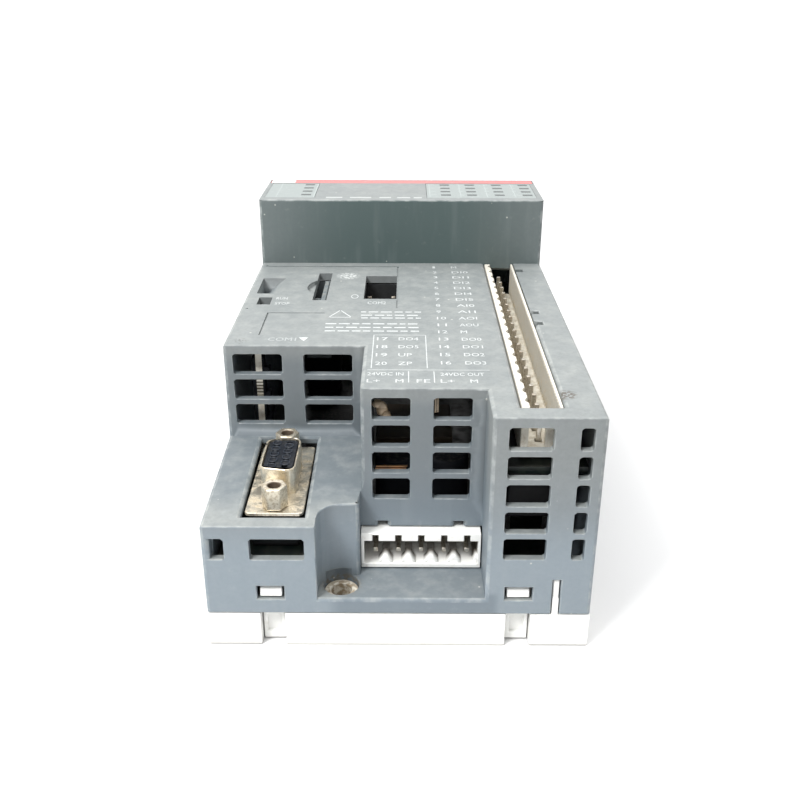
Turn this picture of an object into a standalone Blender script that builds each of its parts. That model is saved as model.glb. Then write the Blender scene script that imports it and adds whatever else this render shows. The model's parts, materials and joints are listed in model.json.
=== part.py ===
"""Compact programmable controller module for a 35 mm rail: housing, terminals, port, boards, latches."""

import math

import bmesh
import bpy
from mathutils import Matrix, Vector

MM = 0.001

# Overall size
HALF_W = 41.25
HALF_L = 67.5
BASE_H = 8.3
COVER_Z0 = 8.5
SILL_Z = 12.2
LEDGE_Z = 30.1
LEDGE_RISE = 1.68
DECK_Z = 55.2
HEAD_Z = 74.0
WALL = 2.0

# Steps of the housing in plan
LEDGE_FACE_Y = -29.0
MID_FACE_Y = -53.44
MID_X0 = -8.2
RIGHT_X0 = 18.5
HEAD_FACE_Y = 39.0
POCKET_X = -17.3
POCKET_Y = -58.8
POCKET_R = 4.9

# Cooling slots: (low x, high x) of each column, top z of the first row
VENT_H = 5.0
VENT_PITCH = 6.4
VENT_TOP = 52.95
LEFT_VENTS = [(-39.06, -27.55), (-22.5, -11.1)]
MID_VENTS = [(-5.8, 2.4), (7.3, 15.55)]
RIGHT_VENTS = [(21.8, 30.75), (36.0, 38.75)]

# Terminals and port
IO_POLES = 20
IO_PITCH = 5.0
IO_FIRST_Y = 36.3
IO_PIN_X = 28.85
IO_BODY = ((24.7, -62.2, 44.0), (32.95, 38.6, 55.1))
IO_CHANNEL = (26.3, 32.35)
SCOOP_DEEP = 1.2
DECK_DOTS = [(-39.4, 36.3), (-39.5, -2.7)]
SUPPLY_POLES = 5
SUPPLY_PITCH = 5.08
SUPPLY_X = 5.0
SUPPLY_PIN_Z = 16.4
PORT_X = -26.5
PORT_Y = -46.0
PORT_PITCH = 2.77
PORT_ROWS = 2.84
SCREW_Y = (-58.5, -33.5)

# Rail and latches
RAIL_HALF = 17.65
RAIL_TOP = 7.5
LATCH_X = (-27.05, 25.8)
LATCH_HALF = 2.4
GROOVE_HALF = 2.65
MOUNT_X = -12.5
MOUNT_Y = -62.0
MOUNT_BORE_R = 2.3

# Boards: (low corner, high corner)
MAIN_BOARD = ((-38.6, -50.9, 10.5), (38.6, 64.0, 12.1))
PORT_BOARD = ((-38.6, -64.6, 19.6), (-19.8, -4.0, 21.2))
IO_BOARD = ((21.0, -64.6, 41.3), (38.6, 60.0, 42.9))
LED_BOARD = ((-38.0, 42.0, 57.0), (38.5, 64.0, 58.6))
BOARD_SCREWS = [(-36.6, 62.6), (36.6, 62.6), (-36.6, -48.6), (36.6, -48.6)]
SPACERS = [(-35.5, -8.0, 19.6), (-22.8, -8.0, 19.6), (24.0, -41.8, 41.3), (36.0, -41.8, 41.3)]
SPACERS += [(24.0, 56.0, 41.3), (36.0, 56.0, 41.3), (-34.0, 55.0, 57.0), (10.0, 53.0, 57.0)]
CAPACITORS = [(-0.6, -39.0, 5.0, 33.0), (11.0, -39.0, 5.0, 33.0), (-24.0, 42.0, 5.5, 37.0)]
RELAY_Y = (-58.0, -38.0, -18.0, 38.0)
LED_ROWS = (60.3, 55.6, 50.9, 46.2)
LED_COLUMNS = (-28.2, 13.2, 20.9, 29.1, 37.3)


def make_collections():
    for obj in list(bpy.data.objects):
        bpy.data.objects.remove(obj, do_unlink=True)
    part = bpy.data.collections.new("plc_module")
    tools = bpy.data.collections.new("cutters")
    tools.hide_render = True
    bpy.context.scene.collection.children.link(part)
    bpy.context.scene.collection.children.link(tools)
    return part, tools


PART, TOOLS = make_collections()


def material(name, rgb, roughness, metallic=0.0):
    mat = bpy.data.materials.new(name)
    mat.use_nodes = True
    shader = mat.node_tree.nodes["Principled BSDF"]
    shader.inputs["Base Color"].default_value = (*rgb, 1.0)
    shader.inputs["Roughness"].default_value = roughness
    shader.inputs["Metallic"].default_value = metallic
    mat.diffuse_color = (*rgb, 1.0)
    return mat


def finish_mesh(bm, name, home, origin):
    bmesh.ops.recalc_face_normals(bm, faces=bm.faces)
    shift = Vector(origin) * MM
    bmesh.ops.scale(bm, vec=(MM, MM, MM), verts=bm.verts)
    bmesh.ops.translate(bm, vec=-shift, verts=bm.verts)
    mesh = bpy.data.meshes.new(name)
    bm.to_mesh(mesh)
    bm.free()
    obj = bpy.data.objects.new(name, mesh)
    obj.location = shift
    home.objects.link(obj)
    return obj


def add_block(bm, low, high):
    made = bmesh.ops.create_cube(bm, size=1.0)
    size = [high[i] - low[i] for i in range(3)]
    middle = [(high[i] + low[i]) / 2 for i in range(3)]
    bmesh.ops.scale(bm, vec=size, verts=made["verts"])
    bmesh.ops.translate(bm, vec=middle, verts=made["verts"])


def add_rod(bm, x, y, z0, z1, radius, sides=16, turn=0.0):
    place = Matrix.Translation((x, y, (z0 + z1) / 2)) @ Matrix.Rotation(turn, 4, "Z")
    bmesh.ops.create_cone(
        bm, cap_ends=True, segments=sides, radius1=radius, radius2=radius,
        depth=z1 - z0, matrix=place,
    )


def add_prism(bm, outline, low, high, axis="Z", rise=0.0):
    """Extrudes a flat outline along an axis; rise lifts the far top edge by the slope in Y."""
    order = {"Z": (0, 1, 2), "X": (2, 0, 1), "Y": (0, 2, 1)}[axis]
    points = []
    for u, v in outline:
        flat = (u, v, low)
        points.append(bm.verts.new([flat[order[i]] for i in range(3)]))
    base = bm.faces.new(points)
    made = bmesh.ops.extrude_face_region(bm, geom=[base])
    top = [item for item in made["geom"] if isinstance(item, bmesh.types.BMVert)]
    step = [0.0, 0.0, 0.0]
    step["XYZ".index(axis)] = high - low
    bmesh.ops.translate(bm, vec=step, verts=top)
    for vert in top:
        vert.co.z += rise * (vert.co.y + HALF_L)


def solid(name, add, home=None, origin=(0.0, 0.0, 0.0)):
    """Makes one object from a function that fills a bmesh."""
    bm = bmesh.new()
    add(bm)
    return finish_mesh(bm, name, home or PART, origin)


def block(name, low, high, origin=(0.0, 0.0, 0.0)):
    return solid(name, lambda bm: add_block(bm, low, high), origin=origin)


def tool_set(name):
    group = bpy.data.collections.new(name)
    group.hide_render = True
    TOOLS.children.link(group)
    return group


def tool(group, add):
    obj = solid(f"{group.name}.{len(group.objects):02d}", add, home=group)
    obj.display_type = "WIRE"
    obj.hide_render = True
    return obj


def tool_blocks(group, spans):
    for low, high in spans:
        tool(group, lambda bm, low=low, high=high: add_block(bm, low, high))


def combine(obj, group, operation):
    modifier = obj.modifiers.new(group.name, "BOOLEAN")
    modifier.operation = operation
    modifier.operand_type = "COLLECTION"
    modifier.collection = group
    modifier.solver = "EXACT"
    return obj


def joined(name, spans):
    """One solid from blocks that overlap, the first being the one the others grow from."""
    body = block(name, *spans[0])
    more = tool_set(name + "_more")
    tool_blocks(more, spans[1:])
    return combine(body, more, "UNION")


def paint(obj, mat):
    obj.data.materials.append(mat)
    return obj


def arc(x, y, radius, start, end, steps):
    points = []
    for i in range(steps + 1):
        angle = math.radians(start + (end - start) * i / steps)
        points.append((x + radius * math.cos(angle), y + radius * math.sin(angle)))
    return points


def ledge_outline(inset, far_y):
    """Plan of the low left block, with its round pocket round the mounting hole."""
    centre_x = POCKET_X + POCKET_R
    centre_y = POCKET_Y - POCKET_R
    points = [(-HALF_W + inset, -HALF_L + inset), (POCKET_X - inset, -HALF_L + inset)]
    points += arc(centre_x, centre_y, POCKET_R + inset, 180.0, 90.0, 6)
    points += [(-8.5 - inset, POCKET_Y + inset), (-8.5 - inset, MID_FACE_Y + inset)]
    points += [(-7.0 - inset, MID_FACE_Y + 0.4 + inset), (-7.0 - inset, far_y)]
    points += [(-HALF_W + inset, far_y)]
    return points


def housing_steps(inset):
    """The boxes whose union is the stepped housing, each drawn in by the wall."""
    w, back, low = HALF_W - inset, HALF_L - inset, COVER_Z0 - (1.0 if inset else 0.0)
    return [
        ((-w, -back, low), (w, back, SILL_Z - inset)),
        ((-w, MID_FACE_Y + inset, low), (w, back, LEDGE_Z - inset)),
        ((-w, LEDGE_FACE_Y + inset, low), (w, back, DECK_Z - inset)),
        ((MID_X0 + inset, MID_FACE_Y + inset, low), (w, back, DECK_Z - inset)),
        ((RIGHT_X0 + inset, -back, low), (w, back, DECK_Z - inset)),
        ((-w, HEAD_FACE_Y + inset, low), (w, back, HEAD_Z - inset)),
    ]


def vent_rows(columns, face_y, rows):
    spans = []
    for low_x, high_x in columns:
        for row in range(rows):
            top = VENT_TOP - row * VENT_PITCH
            low = (low_x, face_y - 1.0, top - VENT_H)
            spans.append((low, (high_x, face_y + WALL + 1.0, top)))
    return spans


def cover_windows():
    front, back = -HALF_L, HALF_L
    spans = vent_rows(LEFT_VENTS, LEDGE_FACE_Y, 3)
    spans += vent_rows(MID_VENTS, MID_FACE_Y, 4)
    spans += vent_rows(RIGHT_VENTS, front, 5)
    spans += [((-39.5, front - 1, 22.0), (-36.5, front + 3, 27.0))]
    spans += [((-31.2, front - 1, 22.0), (-19.7, front + 3, 27.0))]
    for low_x, high_x in [(-35.0, -23.0), (-17.5, -5.5), (0.0, 12.0), (17.5, 29.5)]:
        for row in range(4):
            top = VENT_TOP - row * VENT_PITCH
            spans.append(((low_x, back - 3, top - VENT_H), (high_x, back + 1, top)))
    for low_x, high_x, z in [(-30.2, -24.3, 12.0), (22.6, 28.6, 12.0)]:
        spans.append(((low_x, front - 1, z), (high_x, front + 3, z + 3.3)))
        spans.append(((low_x, back - 3, z), (high_x, back + 1, z + 3.3)))
    spans += [((32.7, front - 1, 8.0), (34.5, front + 3, 17.2))]
    spans += [((-8.75, MID_FACE_Y - 1, 12.3), (RIGHT_X0 + 0.2, MID_FACE_Y + 3, 21.7))]
    spans += [((-4.6, MID_FACE_Y - 1, 21.2), (-2.5, MID_FACE_Y + 3, 22.9))]
    spans += [((12.3, MID_FACE_Y - 1, 21.2), (14.4, MID_FACE_Y + 3, 22.9))]
    spans += [((38.0, 8.0, 26.0), (43.0, 34.0, 35.0))]
    return spans


def deck_openings():
    z0, z1 = DECK_Z - 3.0, DECK_Z + 1.0
    (low_x, low_y, _), (high_x, _, _) = IO_BODY
    spans = [((low_x - 0.3, low_y - 0.4, z0), (high_x + 0.3, HEAD_FACE_Y, z1))]
    spans += [((high_x + 0.1, y - 1.2, z0), (high_x + 2.4, y + 1.2, z1)) for y in (31.7, -4.7, -12.7)]
    spans += [((-37.5, 0.5, z0), (-34.0, 6.4, z1))]
    spans += [((-23.3, 4.3, z0), (-19.6, 28.4, z1))]
    spans += [((-9.8, 5.5, z0), (-1.1, 25.9, z1))]
    spans += [((-33.3, -63.8, 26.0), (-19.7, -29.6, 40.0))]
    return spans


def deck_grooves():
    """Shallow witness lines of the hatch and of the card bay."""
    z0, z1 = DECK_Z - 0.35, DECK_Z + 0.5
    spans = [((-39.6, 35.1, z0), (-0.7, 35.5, z1)), ((-1.1, -2.0, z0), (-0.7, 35.3, z1))]
    spans += [((-33.8, -6.2, z0), (-19.2, -5.8, z1)), ((-33.8, -22.0, z0), (-33.4, -6.0, z1))]
    return spans


def head_recesses():
    z1 = HEAD_Z + 1.0
    spans = [((-40.0, 42.2, 73.6), (-25.3, 62.3, z1)), ((7.4, 42.2, 73.6), (39.7, 62.3, z1))]
    spans += [((-40.9, 62.8, 73.6), (40.9, 67.1, z1))]
    for x in LED_COLUMNS:
        for y in LED_ROWS:
            spans.append(((x - 1.3, y - 0.9, 71.0), (x + 1.3, y + 0.9, z1)))
    return spans


def top_cover():
    slope = LEDGE_RISE / (LEDGE_FACE_Y + HALF_L)
    w, low = HALF_W, COVER_Z0
    cover = solid("top_cover", lambda bm: add_block(bm, (-w, -HALF_L, low), (w, HALF_L, SILL_Z)))
    outer = tool_set("cover_steps")
    tool_blocks(outer, housing_steps(0.0)[1:])
    plan = ledge_outline(0.0, -27.5)
    tool(outer, lambda bm: add_prism(bm, plan, low, LEDGE_Z, rise=slope))
    combine(cover, outer, "UNION")
    core = tool_set("cover_core")
    tool_blocks(core, housing_steps(WALL))
    hollow = ledge_outline(WALL, -25.0)
    tool(core, lambda bm: add_prism(bm, hollow, low - 1.0, LEDGE_Z - WALL, rise=slope))
    combine(cover, core, "DIFFERENCE")
    lining = tool_set("cover_lining")
    tool_blocks(lining, [((-39.6, 8.0, 48.6), (-31.4, 25.2, 53.6))])
    combine(cover, lining, "UNION")
    cuts = tool_set("cover_cuts")
    tool_blocks(cuts, cover_windows() + deck_openings() + deck_grooves() + head_recesses())
    finger = [(-38.7, DECK_Z + 1.0), (-38.7, 50.6), (-38.2, 50.4), (-32.4, DECK_Z), (-31.3, 56.2)]
    tool(cuts, lambda bm: add_prism(bm, finger, 9.7, 23.5, axis="Y"))
    bow = arc(-16.5, 15.55, 9.1, 180 - 41.6, 180 + 41.6, 10)
    tool(cuts, lambda bm: add_prism(bm, bow, DECK_Z - SCOOP_DEEP, DECK_Z + 1.0))
    tool(cuts, lambda bm: add_rod(bm, MOUNT_X, MOUNT_Y, 7.5, 14.0, 3.9, 24))
    for x, y in DECK_DOTS:
        tool(cuts, lambda bm, x=x, y=y: add_rod(bm, x, y, DECK_Z - 0.5, DECK_Z + 1, 0.35, 8))
    combine(cover, cuts, "DIFFERENCE")
    return cover


def base_adds():
    spans = [((-38.9, -19.65, RAIL_TOP + 0.4), (38.9, 19.65, 9.6))]
    for x in LATCH_X:
        wide = GROOVE_HALF + 1.5
        spans.append(((x - wide, -66.0, 0.0), (x + wide, -18.0, 5.6)))
        spans.append(((x - wide, -66.0, 0.0), (x + wide, -60.6, BASE_H)))
        spans.append(((x - wide, -28.6, 0.0), (x + wide, -18.0, BASE_H)))
        spans.append(((x - 2.0, 14.9, 3.6), (x + 2.0, 19.0, 6.0)))
    for x, y in BOARD_SCREWS:
        spans.append(((x - 2.0, y - 2.0, 1.0), (x + 2.0, y + 2.0, 10.2)))
    for x0, x1 in [(-30.0, -24.5), (22.8, 28.4)]:
        spans.append(((x0 + 0.3, 64.9, 1.0), (x1 - 0.3, 65.3, 15.0)))
    spans.append(((32.95, -67.5, 1.0), (34.25, -65.5, 12.6)))
    spans.append(((32.95, -66.9, 1.0), (34.25, -65.5, 16.9)))
    return spans


def snap_hooks(group):
    """Barbed tongues that hold the cover through its four front and back windows."""
    for x0, x1, side in [(-29.6, -24.9, 1), (23.2, 28.0, 1), (-29.6, -24.9, -1), (23.2, 28.0, -1)]:
        y = -HALF_L
        foot = [(2.25, 9.2), (5.2, 9.2), (5.2, 5.0), (6.3, 5.0), (6.3, 10.4), (3.2, 10.4)]
        shape = [(y + out, z) for out, z in foot] + [(y + 3.2, 15.0), (y + 2.25, 15.0)]
        shape += [(y + 1.0, 14.2), (y + 0.6, 12.4), (y + 2.25, 12.4)]
        if side < 0:
            shape = [(-py, pz) for py, pz in shape]
        tool(group, lambda bm, x0=x0, x1=x1, shape=shape: add_prism(bm, shape, x0, x1, axis="X"))


def base_shell():
    base = block("base_shell", (-HALF_W, -HALF_L, 0.0), (HALF_W, HALF_L, BASE_H))
    hollow = tool_set("base_hollow")
    inner_w, inner_l = HALF_W - WALL, HALF_L - WALL
    tool_blocks(hollow, [((-inner_w, -inner_l, WALL), (inner_w, -19.65, 12.0))])
    tool_blocks(hollow, [((-inner_w, 19.65, WALL), (inner_w, inner_l, 12.0))])
    tool_blocks(hollow, [((-50.0, -RAIL_HALF, -1.0), (50.0, RAIL_HALF, RAIL_TOP))])
    combine(base, hollow, "DIFFERENCE")
    adds = tool_set("base_adds")
    tool_blocks(adds, base_adds())
    snap_hooks(adds)
    tool(adds, lambda bm: add_rod(bm, MOUNT_X, MOUNT_Y, 1.0, 10.8, 3.7, 24))
    combine(base, adds, "UNION")
    cuts = tool_set("base_cuts")
    for x in LATCH_X:
        low, high = x - GROOVE_HALF, x + GROOVE_HALF
        tool_blocks(cuts, [((low, -69.0, -1.0), (high, -62.5, 9.0))])
        tool_blocks(cuts, [((low, -63.0, -1.0), (high, -17.0, 3.8))])
        tool_blocks(cuts, [((low, -26.4, -1.0), (high, -17.0, 6.5))])
    tool(cuts, lambda bm: add_rod(bm, MOUNT_X, MOUNT_Y, -1.0, 12.0, MOUNT_BORE_R, 24))
    for x, y in BOARD_SCREWS:
        tool(cuts, lambda bm, x=x, y=y: add_rod(bm, x, y, 3.0, 12.0, 1.25, 12))
    combine(base, cuts, "DIFFERENCE")
    stops = tool_set("base_stops")
    for x in LATCH_X:
        tool_blocks(stops, [((x - 0.9, -51.0, 0.6), (x + 0.9, -50.0, 4.4))])
    return combine(base, stops, "UNION")


def latch(name, x):
    """Rail latch: pull tab, window for its spring, hook tip."""
    low, high = x - LATCH_HALF, x + LATCH_HALF
    bar = block(name, (low, -65.4, 0.4), (high, -15.9, 3.4), origin=(x, -40.0, 1.9))
    adds = tool_set(name + "_adds")
    tool_blocks(adds, [((low, -65.4, 0.4), (high, -62.9, 7.9))])
    tip = [(-22.0, 2.0), (-17.6, 2.0), (-15.9, 3.0), (-15.9, 4.6), (-17.4, 6.2), (-22.0, 6.2)]
    tool(adds, lambda bm: add_prism(bm, tip, low, high, axis="X"))
    combine(bar, adds, "UNION")
    cuts = tool_set(name + "_cuts")
    tool_blocks(cuts, [((x - 1.7, -55.5, -1.0), (x + 1.7, -34.0, 5.0))])
    tool_blocks(cuts, [((x - 1.5, -66.0, 2.2), (x + 1.5, -64.6, 6.4))])
    return combine(bar, cuts, "DIFFERENCE")


def latch_spring(name, x):
    """Compression spring along Y between the base's stop and the latch's window."""
    turns, steps, start, end, radius = 7, 8, -49.3, -34.7, 1.15
    curve = bpy.data.curves.new(name, "CURVE")
    curve.dimensions = "3D"
    curve.bevel_depth = 0.22 * MM
    curve.bevel_resolution = 1
    curve.use_fill_caps = True
    spline = curve.splines.new("POLY")
    spline.points.add(turns * steps)
    for i in range(turns * steps + 1):
        angle = 2 * math.pi * i / steps
        share = i / (turns * steps)
        place = (
            (radius * math.cos(angle)) * MM,
            (start + (end - start) * share + 40.0) * MM,
            (radius * math.sin(angle)) * MM,
        )
        spline.points[i].co = (*place, 1.0)
    obj = bpy.data.objects.new(name, curve)
    obj.location = (x * MM, -40.0 * MM, 1.9 * MM)
    PART.objects.link(obj)
    return obj


def io_pin_ys():
    return [IO_FIRST_Y - IO_PITCH * i for i in range(IO_POLES)]


def io_header():
    low, high = IO_BODY
    body = block("io_header_body", low, high)
    cuts = tool_set("io_header_cuts")
    left, right = IO_CHANNEL
    tool_blocks(cuts, [((left, low[1] - 1, 46.0), (right, high[1] + 1, high[2] + 1))])
    for y in io_pin_ys():
        tool_blocks(cuts, [((IO_PIN_X - 0.75, y - 0.75, 40.0), (IO_PIN_X + 0.75, y + 0.75, 50.0))])
        tool(cuts, lambda bm, y=y: add_rod(bm, left + 1.35, y, 47.0, 57.0, 2.0, 16, math.pi / 16))
    combine(body, cuts, "DIFFERENCE")
    key = tool_set("io_header_key")
    tool_blocks(key, [((29.8, low[1] + 0.2, 45.0), (right + 0.3, low[1] + 1.8, 52.0))])
    return combine(body, key, "UNION")


def io_pins():
    ys = io_pin_ys()
    low_x, high_x = IO_PIN_X - 0.5, IO_PIN_X + 0.5
    spans = [((low_x, ys[-1] - 0.5, 43.2), (high_x, ys[0] + 0.5, 43.7))]
    spans += [((low_x, y - 0.5, 43.2), (high_x, y + 0.5, 52.0)) for y in ys]
    return joined("io_header_pins", spans)


def supply_pin_xs():
    return [SUPPLY_X + SUPPLY_PITCH * (i - 2) for i in range(SUPPLY_POLES)]


def supply_header():
    body = block("supply_header_body", (-8.4, -56.1, 12.5), (18.2, -46.6, 21.4))
    cuts = tool_set("supply_header_cuts")
    tool_blocks(cuts, [((-7.7, -58.0, 13.6), (17.6, -48.4, 19.4))])
    for x in supply_pin_xs():
        tool_blocks(cuts, [((x - 0.68, -58.0, 19.0), (x + 0.68, -50.0, 20.9))])
        low = (x - 0.75, -49.0, SUPPLY_PIN_Z - 0.75)
        tool_blocks(cuts, [(low, (x + 0.75, -45.0, SUPPLY_PIN_Z + 0.75))])
    combine(body, cuts, "DIFFERENCE")
    ribs = tool_set("supply_header_ribs")
    for x in supply_pin_xs():
        edge = min(x + 3.15, 18.0)
        tool_blocks(ribs, [((x + 1.45, -55.9, 13.2), (edge, -48.0, 14.5))])
    return combine(body, ribs, "UNION")


def supply_pins():
    z = SUPPLY_PIN_Z
    shape = [(-54.8, z - 0.5), (-54.8, z + 0.5), (-44.9, z + 0.5), (-44.9, 12.4)]
    shape += [(-45.9, 12.4), (-45.9, z - 0.5)]

    xs = supply_pin_xs()
    strip = block("supply_header_pins", (xs[0] - 0.5, -45.9, 12.4), (xs[-1] + 0.5, -44.9, 13.0))
    pins = tool_set("supply_pin_bars")
    for x in xs:
        tool(pins, lambda bm, x=x: add_prism(bm, shape, x - 0.5, x + 0.5, axis="X"))
    return combine(strip, pins, "UNION")


def d_outline(long_half, depth_half, radius, steps=3):
    """Rounded D: its long side towards +X, sides leaning in by 10 degrees."""
    lean = 2 * depth_half * math.tan(math.radians(10.0))
    corners = [(depth_half, long_half), (-depth_half, long_half - lean)]
    points = []
    for x, y in corners:
        side = 1 if x > 0 else -1
        cx = PORT_X + x - side * radius
        cy = PORT_Y + y - radius * (1.18 if side > 0 else 0.85)
        start, end = (0.0, 100.0) if side > 0 else (100.0, 180.0)
        points += arc(cx, cy, radius, start, end, steps)
    mirrored = [(px, 2 * PORT_Y - py) for px, py in reversed(points)]
    return points + mirrored


def port_shell():
    x0, x1 = PORT_X - 6.27, PORT_X + 6.27
    y0, y1 = PORT_Y - 15.4, PORT_Y + 15.4
    flange = block("port_front_shell", (x0, y0, 28.9), (x1, y1, 29.7))
    rounded = flange.modifiers.new("corner_radius", "BEVEL")
    rounded.width = 1.0 * MM
    rounded.segments = 3
    rounded.limit_method = "WEIGHT"
    attribute = flange.data.attributes.new("bevel_weight_edge", "FLOAT", "EDGE")
    for edge in flange.data.edges:
        a, b = [flange.data.vertices[i].co for i in edge.vertices]
        attribute.data[edge.index].value = 1.0 if abs(a.z - b.z) > 1e-6 else 0.0
    adds = tool_set("port_shell_adds")
    outer = d_outline(8.17, 3.95, 2.0)
    tool(adds, lambda bm: add_prism(bm, outer, 29.2, 36.0))
    combine(flange, adds, "UNION")
    cuts = tool_set("port_shell_cuts")
    inner = d_outline(7.77, 3.55, 1.6)
    tool(cuts, lambda bm: add_prism(bm, inner, 27.0, 38.0))
    for y in SCREW_Y:
        tool(cuts, lambda bm, y=y: add_rod(bm, PORT_X, y, 27.0, 31.0, 1.75, 16))
    return combine(flange, cuts, "DIFFERENCE")


def port_holes():
    holes = [(PORT_X + PORT_ROWS / 2, PORT_Y + PORT_PITCH * (i - 2)) for i in range(5)]
    holes += [(PORT_X - PORT_ROWS / 2, PORT_Y + PORT_PITCH * (i - 1.5)) for i in range(4)]
    return holes


def port_insert():
    inner = d_outline(7.5, 3.3, 1.4)
    body = solid("port_insert", lambda bm: add_prism(bm, inner, 24.2, 35.7))
    cuts = tool_set("port_insert_cuts")
    for x, y in port_holes():
        tool(cuts, lambda bm, x=x, y=y: add_rod(bm, x, y, 22.0, 37.0, 0.75, 10))
    return combine(body, cuts, "DIFFERENCE")


def port_contacts():
    low = (PORT_X - 2.4, PORT_Y - 6.4, 21.6)
    carrier = block("port_contacts", low, (PORT_X + 2.4, PORT_Y + 6.4, 22.2))
    pins = tool_set("port_contact_pins")
    for x, y in port_holes():
        tool(pins, lambda bm, x=x, y=y: add_rod(bm, x, y, 21.9, 34.6, 0.5, 8))
    return combine(carrier, pins, "UNION")


def port_bracket():
    """Plastic frame that carries the port on its board."""
    x0, x1 = PORT_X - 5.0, PORT_X + 5.0
    frame = block("port_bracket", (x0, PORT_Y - 15.0, 21.5), (x1, PORT_Y + 15.0, 28.6))
    cuts = tool_set("port_bracket_cuts")
    tool_blocks(cuts, [((x0 + 1.4, PORT_Y - 8.2, 20.0), (x1 - 1.4, PORT_Y + 8.2, 30.0))])
    for y in SCREW_Y:
        tool(cuts, lambda bm, y=y: add_rod(bm, PORT_X, y, 20.0, 30.0, 1.75, 16))
    return combine(frame, cuts, "DIFFERENCE")


def jackscrew(name, y):
    nut = solid(name, lambda bm: add_rod(bm, PORT_X, y, 29.9, 35.0, 2.85, 6, math.pi / 6))
    shank = tool_set(name + "_shank")
    bore = tool_set(name + "_bore")
    tool(shank, lambda bm: add_rod(bm, PORT_X, y, 23.0, 31.0, 1.4, 16))
    tool(bore, lambda bm: add_rod(bm, PORT_X, y, 31.2, 36.0, 1.4, 16))
    combine(nut, shank, "UNION")
    return combine(nut, bore, "DIFFERENCE")


def switch_body():
    body = block("switch_body", (-38.6, -2.0, 46.0), (-33.0, 7.6, 50.2))
    cuts = tool_set("switch_body_cuts")
    tool_blocks(cuts, [((-37.0, 0.4, 47.4), (-34.5, 6.2, 51.0))])
    return combine(body, cuts, "DIFFERENCE")


def run_stop_slider():
    x, y = -35.75, 2.2
    low, high = (x - 1.0, y - 1.5, 47.8), (x + 1.0, y + 1.5, 50.8)
    knob = block("run_stop_slider", low, high, origin=(x, y, 50.8))
    adds = tool_set("slider_adds")
    tool_blocks(adds, [((x - 0.85, y - 1.1, 50.0), (x + 0.85, y + 1.1, 54.4))])
    return combine(knob, adds, "UNION")


def service_socket():
    body = block("service_socket_body", (-11.4, 3.9, 41.0), (0.5, 27.5, 52.8))
    cuts = tool_set("service_socket_cuts")
    tool_blocks(cuts, [((-9.9, 5.4, 43.0), (-1.0, 26.0, 54.0))])
    return combine(body, cuts, "DIFFERENCE")


def service_contacts():
    spans = [((-9.4, 9.0, 43.3), (-1.5, 22.6, 43.9))]
    for i in range(6):
        y = 9.0 + 2.54 * i
        spans.append(((-9.4, y, 43.3), (-8.2, y + 0.9, 50.4)))
        spans.append(((-2.7, y, 43.3), (-1.5, y + 0.9, 50.4)))
    return joined("service_socket_contacts", spans)


def card_guide():
    body = block("card_slot_guide", (-25.2, 3.4, 39.0), (-18.6, 29.2, 41.0))
    adds = tool_set("card_guide_adds")
    tool_blocks(adds, [((-21.3, 4.5, 40.0), (-20.0, 23.8, 54.4))])
    tool_blocks(adds, [((-25.2, 3.4, 40.0), (-18.6, 4.1, 52.8))])
    tool_blocks(adds, [((-25.2, 28.6, 40.0), (-18.6, 29.2, 52.8))])
    tool_blocks(adds, [((-19.3, 3.4, 40.0), (-18.6, 29.2, 52.8))])
    tool_blocks(adds, [((-23.1, 9.8, 40.0), (-20.8, 10.8, 53.6))])
    return combine(body, adds, "UNION")


def bus_socket():
    body = block("bus_socket_body", (33.2, 8.4, 26.4), (40.9, 33.6, 34.6))
    cuts = tool_set("bus_socket_cuts")
    for i in range(8):
        for z in (29.2, 31.8):
            y = 12.1 + 2.54 * i
            tool_blocks(cuts, [((32.0, y - 0.6, z - 0.6), (42.0, y + 0.6, z + 0.6))])
    return combine(body, cuts, "DIFFERENCE")


def bus_contacts():
    spans = [((32.4, 11.5, 28.6), (32.9, 30.5, 32.4))]
    for i in range(8):
        for z in (29.2, 31.8):
            y = 12.1 + 2.54 * i
            spans.append(((32.5, y - 0.3, z - 0.3), (39.6, y + 0.3, z + 0.3)))
    return joined("bus_socket_contacts", spans)


def board(name, span, holes):
    plate = block(name, *span)
    if not holes:
        return plate
    cuts = tool_set(name + "_cuts")
    z0, z1 = span[0][2] - 1.0, span[1][2] + 1.0
    for x, y, radius in holes:
        tool(cuts, lambda bm, x=x, y=y, r=radius: add_rod(bm, x, y, z0, z1, r, 12))
    return combine(plate, cuts, "DIFFERENCE")


def board_screw(name, x, y):
    outline = [(0.0, 4.0), (1.1, 4.0), (1.1, 12.4), (2.4, 12.4), (2.2, 14.0), (0.0, 14.0)]
    return solid(name, lambda bm: spin_profile(bm, outline, x, y, 12))


def spin_profile(bm, outline, x, y, sides):
    """Turns a half outline (radius, z) about the vertical through x, y."""
    rings = []
    for radius, z in outline:
        if radius == 0.0:
            rings.append([bm.verts.new((x, y, z))])
            continue
        ring = arc(x, y, radius, 0.0, 360.0, sides)[:-1]
        rings.append([bm.verts.new((px, py, z)) for px, py in ring])
    for one, two in zip(rings, rings[1:]):
        for i in range(sides):
            j = (i + 1) % sides
            loop = [one[i % len(one)], one[j % len(one)], two[j % len(two)], two[i % len(two)]]
            corners = list(dict.fromkeys(loop))
            bm.faces.new(corners)


def spacer(name, x, y, top):
    low = MAIN_BOARD[1][2] + 0.2
    return solid(name, lambda bm: add_rod(bm, x, y, low, top - 0.2, 2.4, 6))


def stacking_header():
    spans = [((-35.6, -23.6, 21.5), (-32.6, -21.0, 50.0))]
    for i in range(4):
        z = 25.0 + 6.4 * i
        spans.append(((-33.0, -23.4, z), (-31.4, -21.2, z + 3.2)))
    return joined("stacking_header", spans)


def capacitor(name, x, y, radius, top):
    return solid(name, lambda bm: spin_profile(bm, can_profile(radius, 12.4, top), x, y, 20))


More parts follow.
